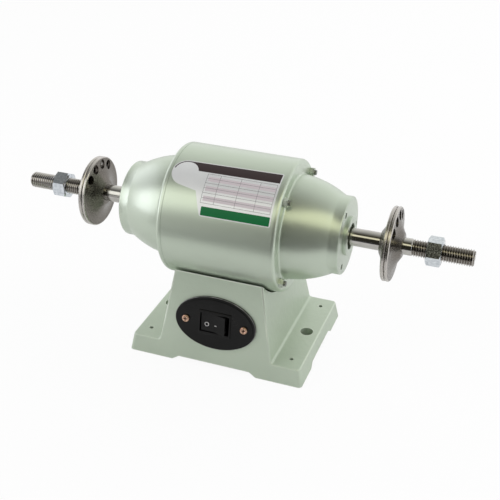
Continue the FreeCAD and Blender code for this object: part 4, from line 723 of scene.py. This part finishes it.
dressed(shown("switch_blades", joined("switch_terminals")), tinned, "frame", "tinned_blade",
        "switch_terminals")
slope = Matrix((Vector((1, 0, 0)), along, out)).transposed().to_4x4()
form = bmesh.new()
corners = [form.verts.new((x, 0, z)) for x, z in ((CIRCLE_INNER, -MARK_HALF), (CIRCLE_OUTER, -MARK_HALF),
                                                  (CIRCLE_OUTER, MARK_HALF), (CIRCLE_INNER, MARK_HALF))]
loop = corners + [form.edges.new((corners[i], corners[(i + 1) % 4])) for i in range(4)]
bmesh.ops.spin(form, geom=loop, cent=(0, 0, 0), axis=(0, 0, 1), angle=math.tau, steps=40, use_merge=True)
bmesh.ops.translate(form, verts=form.verts, vec=CIRCLE_PLACE)
tilted = Matrix.Translation(BAR_PLACE) @ Matrix.Rotation(BAR_TILT, 4, "Y")
bmesh.ops.create_cube(form, size=1.0, matrix=tilted @ Matrix.Diagonal(BAR_SIZE + (1,)))
bmesh.ops.recalc_face_normals(form, faces=form.faces)
bmesh.ops.transform(form, verts=form.verts, matrix=Matrix.Translation(SWITCH_MIDDLE) @ slope)
dressed(shown("switch_marks", form), white_mark, "rocker", "switch_plastic")


# Cord inlet
# Moulded rubber bush snapped into the rear slope, where a supply cord would come in.
# The photographed lathe shows no cord, so the bush is empty.
dressed(shown("cord_bush", joined("cord_inlet")), rubber, "frame", "rubber", "cord_inlet")


# Run capacitor and terminal block
# Drawn aluminium can held on the bottom cover by a sheet strap with two screws.
# The nylon block beside it joins the supply, the switch and the motor leads.
can_aluminium = finish("can_aluminium", (0.62, 0.63, 0.64), (0.72, 0.73, 0.74), (0.22, 0.34), metallic=1.0,
                       grain=900.0, relief=0.00001, stretch=(0.05, 1, 1))
nylon = finish("natural_nylon", (0.66, 0.64, 0.56), (0.74, 0.72, 0.64), (0.4, 0.55), grain=700.0)
for name, node, material, slot in (
        ("capacitor", "run_capacitor", can_aluminium, "capacitor_can"),
        ("capacitor_strap", "capacitor_clip", sheet_steel, "sheet_steel"),
        ("strap_screws", "clip_screws", zinc, "zinc_plate"),
        ("lead_block", "terminal_block", nylon, "block_plastic")):
    dressed(shown(name, joined(node)), material, "frame", slot, node)


# Studio
# White sweep in soft daylight from all round, with gentle boxes at the left, at the right and behind.
# A half tube stands in for the room in reflections: dark in front, one bright strip, grey overhead, white
# behind, and at the left a window and cooler daylight. A card stands in for the ground in front.
STRIP_RISE, STRIP_FALL, STRIP_LEVEL = (34, 44), (52, 64), 1.2
LEFT_LEAN, RIGHT_LEAN = 35.0, 22.0
PANE_RISE, PANE_FALL, PANE_TOP, PANE_LEVEL = (-0.35, -0.75), (-0.8, -0.95), (50, 75), 0.6
FAR_WINDOW, FAR_LEVEL = (-1.1, -1.6), 0.95
WINDOW_HEIGHT, OVERHEAD = (75, 30), (60, 150)
NEUTRAL, WARM, COOL = (0.99, 1.0, 0.96), (1.04, 1.0, 0.72), (0.99, 0.965, 1.05)
WARM_PLACE, WARM_TOP, COOL_PLACE = (-0.9, 0.1), (70, 100), (-1.0, -1.6)
ROOM_LEFT, ROOM_RIGHT = -4.0, 2.4
ROOM_FRONT = (-1.4943, 0.0051)
ROOM_TURN, ROOM_STEPS = math.radians(-160), 62
GROUND_SIZE, GROUND_PLACE = (4.0, 1.2, 1), (0.4, -0.9, 0.002)
GROUND_FRONT, GROUND_RIGHT, GROUND_LEFT = (-0.52, -0.25), (0.0, 0.2), (-0.1, -0.6)
FLOOR_REACH = 6
FLOOR_WHITE = 0.93
VIEW_TURN, VIEW_RISE, VIEW_ROLL = math.radians(19.975), math.radians(30.019), math.radians(0.55)
VIEW_MIDDLE, VIEW_DISTANCE = (0.0128, 0, 0.1002), 0.902
LENS, SENSOR = 65.95, 36
LAMP_AIM = (0, 0, 0.1)


def reflection_only(name, form, level, tint=None):
    """Glowing form that shows only in reflections; level and tint make its strength and its colour."""
    piece = shown(name, form)
    material = bpy.data.materials.new(name)
    material.use_nodes = True
    nodes, link = wiring(material)
    glow = nodes.new("ShaderNodeEmission")
    nodes.new("ShaderNodeTexCoord")
    place = place_parts(nodes, link)
    link(level(nodes, link, place), glow.inputs["Strength"])
    if tint:
        link(tint(nodes, link, place), glow.inputs["Color"])
    link(glow.outputs["Emission"], nodes["Material Output"].inputs["Surface"])
    piece.data.materials.append(material)
    piece.visible_camera = False
    piece.visible_diffuse = False
    piece.visible_shadow = False
    piece.visible_transmission = False
    return piece


def sloped(nodes, link, value, start, end, low, high):
    """Smooth change from low to high while a value goes from start to end."""
    return ranged(nodes, link, value, start, end, low, high, smooth=True)


def height_above_front(nodes, link, place):
    """Angle of a place on the room above its front horizon, in degrees."""
    front = combined(nodes, link, "MULTIPLY", place["Y"], -1.0)
    level = combined(nodes, link, "SUBTRACT", place["Z"], AXIS)
    return combined(nodes, link, "MULTIPLY", combined(nodes, link, "ARCTAN2", level, front), 180 / math.pi)


def room_tint(nodes, link, place):
    """Colour of the room: warmer low down towards the right, cooler at the far left."""
    warm = combined(nodes, link, "MULTIPLY", sloped(nodes, link, place["X"], *WARM_PLACE, 0.0, 1.0),
                    sloped(nodes, link, height_above_front(nodes, link, place), *WARM_TOP, 1.0, 0.0))
    cool = sloped(nodes, link, place["X"], *COOL_PLACE, 0.0, 1.0)
    return mixed(nodes, link, cool, mixed(nodes, link, warm, NEUTRAL, WARM), COOL)


def room_level(nodes, link, place):
    """Brightness of the room by its height above the front horizon; the strip leans with its place."""
    height = height_above_front(nodes, link, place)
    left = combined(nodes, link, "MINIMUM", combined(nodes, link, "ADD", place["X"], 0.15), 0.0)
    right = combined(nodes, link, "MAXIMUM", place["X"], 0.0)
    lower = combined(nodes, link, "SUBTRACT", height, combined(nodes, link, "MULTIPLY", left, LEFT_LEAN))
    upper = combined(nodes, link, "SUBTRACT", height, combined(nodes, link, "MULTIPLY", right, RIGHT_LEAN))
    strip = combined(nodes, link, "MULTIPLY", sloped(nodes, link, lower, *STRIP_RISE, 0.0, STRIP_LEVEL),
                     sloped(nodes, link, upper, *STRIP_FALL, 1.0, 0.0))
    pane = combined(nodes, link, "MULTIPLY", sloped(nodes, link, place["X"], *PANE_RISE, 0.0, PANE_LEVEL),
                    sloped(nodes, link, place["X"], *PANE_FALL, 1.0, 0.1))
    pane = combined(nodes, link, "MULTIPLY", pane, sloped(nodes, link, height, *PANE_TOP, 1.0, 0.3))
    window = combined(nodes, link, "ADD", pane, sloped(nodes, link, place["X"], *FAR_WINDOW, 0.0, FAR_LEVEL))
    window = combined(nodes, link, "MULTIPLY", window, sloped(nodes, link, height, *WINDOW_HEIGHT, 0.68, 0.9))
    front = combined(nodes, link, "ADD", strip, window)
    return combined(nodes, link, "ADD", front, sloped(nodes, link, height, *OVERHEAD, 0.03, 0.85))


def ground_level(nodes, link, place):
    """Brightness of the ground: darker away from the machine and to the right, lighter to the left."""
    near = combined(nodes, link, "MULTIPLY", sloped(nodes, link, place["Y"], *GROUND_FRONT, 0.04, 0.36),
                    sloped(nodes, link, place["X"], *GROUND_RIGHT, 1.0, 0.7))
    return combined(nodes, link, "ADD", near, sloped(nodes, link, place["X"], *GROUND_LEFT, 0.0, 0.65))


def shader_mix(nodes, link, share, first, second):
    """Mix of two shaders by a share."""
    blend = nodes.new("ShaderNodeMixShader")
    for socket, value in zip(blend.inputs, (share, first, second)):
        link(value, socket)
    return blend.outputs["Shader"]


form = bmesh.new()
ends = [form.verts.new((x,) + ROOM_FRONT) for x in (ROOM_LEFT, ROOM_RIGHT)]
bmesh.ops.spin(form, geom=ends + [form.edges.new(ends)], cent=(0, 0, AXIS), axis=(1, 0, 0), angle=ROOM_TURN,
               steps=ROOM_STEPS)
room = reflection_only("room", form, room_level, room_tint)
form = bmesh.new()
bmesh.ops.create_grid(form, x_segments=1, y_segments=1, size=0.5)
bmesh.ops.scale(form, verts=form.verts, vec=GROUND_SIZE)
bmesh.ops.translate(form, verts=form.verts, vec=GROUND_PLACE)
ground = reflection_only("ground", form, ground_level)

form = bmesh.new()
bmesh.ops.create_grid(form, x_segments=1, y_segments=1, size=FLOOR_REACH)
floor = shown("floor", form)
sweep = bpy.data.materials.new("white_sweep")
sweep.use_nodes = True
nodes, link = wiring(sweep)
paper = nodes["Principled BSDF"]
paper.inputs["Base Color"].default_value = (0.82, 0.82, 0.82, 1)
paper.inputs["Roughness"].default_value = 0.9
paper.inputs["Specular IOR Level"].default_value = 0.1
seen = nodes.new("ShaderNodeLightPath").outputs["Is Camera Ray"]
link(shader_mix(nodes, link, combined(nodes, link, "MULTIPLY", seen, FLOOR_WHITE), paper.outputs["BSDF"],
                nodes.new("ShaderNodeEmission").outputs["Emission"]),
     nodes["Material Output"].inputs["Surface"])
floor.data.materials.append(sweep)

world = bpy.data.worlds.new("studio")
bpy.context.scene.world = world
world.use_nodes = True
nodes, link = wiring(world)
ambient = nodes["Background"]
ambient.inputs["Color"].default_value = (1, 1, 1, 1)
ambient.inputs["Strength"].default_value = 0.6
white = nodes.new("ShaderNodeBackground")
white.inputs["Color"].default_value = (1, 1, 1, 1)
rays = nodes.new("ShaderNodeLightPath").outputs
mirrored = combined(nodes, link, "MAXIMUM", rays["Is Glossy Ray"], rays["Is Transmission Ray"])
seen = combined(nodes, link, "MAXIMUM", rays["Is Camera Ray"], mirrored)
link(shader_mix(nodes, link, seen, ambient.outputs["Background"], white.outputs["Background"]),
     nodes["World Output"].inputs["Surface"])

for name, spot, size, power in (("key", (-1.3, -0.8, 0.95), 0.9, 8),
                                ("right_fill", (1.5, 0.3, 0.9), 1.0, 9),
                                ("back_box", (0.2, 1.4, 1.5), 1.4, 10)):
    lamp = bpy.data.objects.new(name, bpy.data.lights.new(name, "AREA"))
    lamp.data.shape = "SQUARE"
    lamp.data.size = size
    lamp.data.energy = power
    lamp.location = spot
    lamp.rotation_euler = (Vector(spot) - Vector(LAMP_AIM)).to_track_quat("Z", "Y").to_euler()
    lamp.visible_glossy = False
    bpy.context.scene.collection.objects.link(lamp)

right = Vector((math.cos(VIEW_TURN), math.sin(VIEW_TURN), 0))
back = Vector((math.sin(VIEW_TURN) * math.cos(VIEW_RISE), -math.cos(VIEW_TURN) * math.cos(VIEW_RISE),
               math.sin(VIEW_RISE)))
up = back.cross(right)
across = right * math.cos(VIEW_ROLL) + up * math.sin(VIEW_ROLL)
upward = up * math.cos(VIEW_ROLL) - right * math.sin(VIEW_ROLL)
camera = bpy.data.objects.new("camera", bpy.data.cameras.new("camera"))
camera.data.lens = LENS
camera.data.sensor_width = SENSOR
camera.matrix_world = Matrix.Translation(Vector(VIEW_MIDDLE) + back * VIEW_DISTANCE) @ Matrix(
    (across, upward, back)).transposed().to_4x4()
bpy.context.scene.collection.objects.link(camera)
bpy.context.scene.camera = camera
bpy.context.scene.view_settings.view_transform = "Standard"
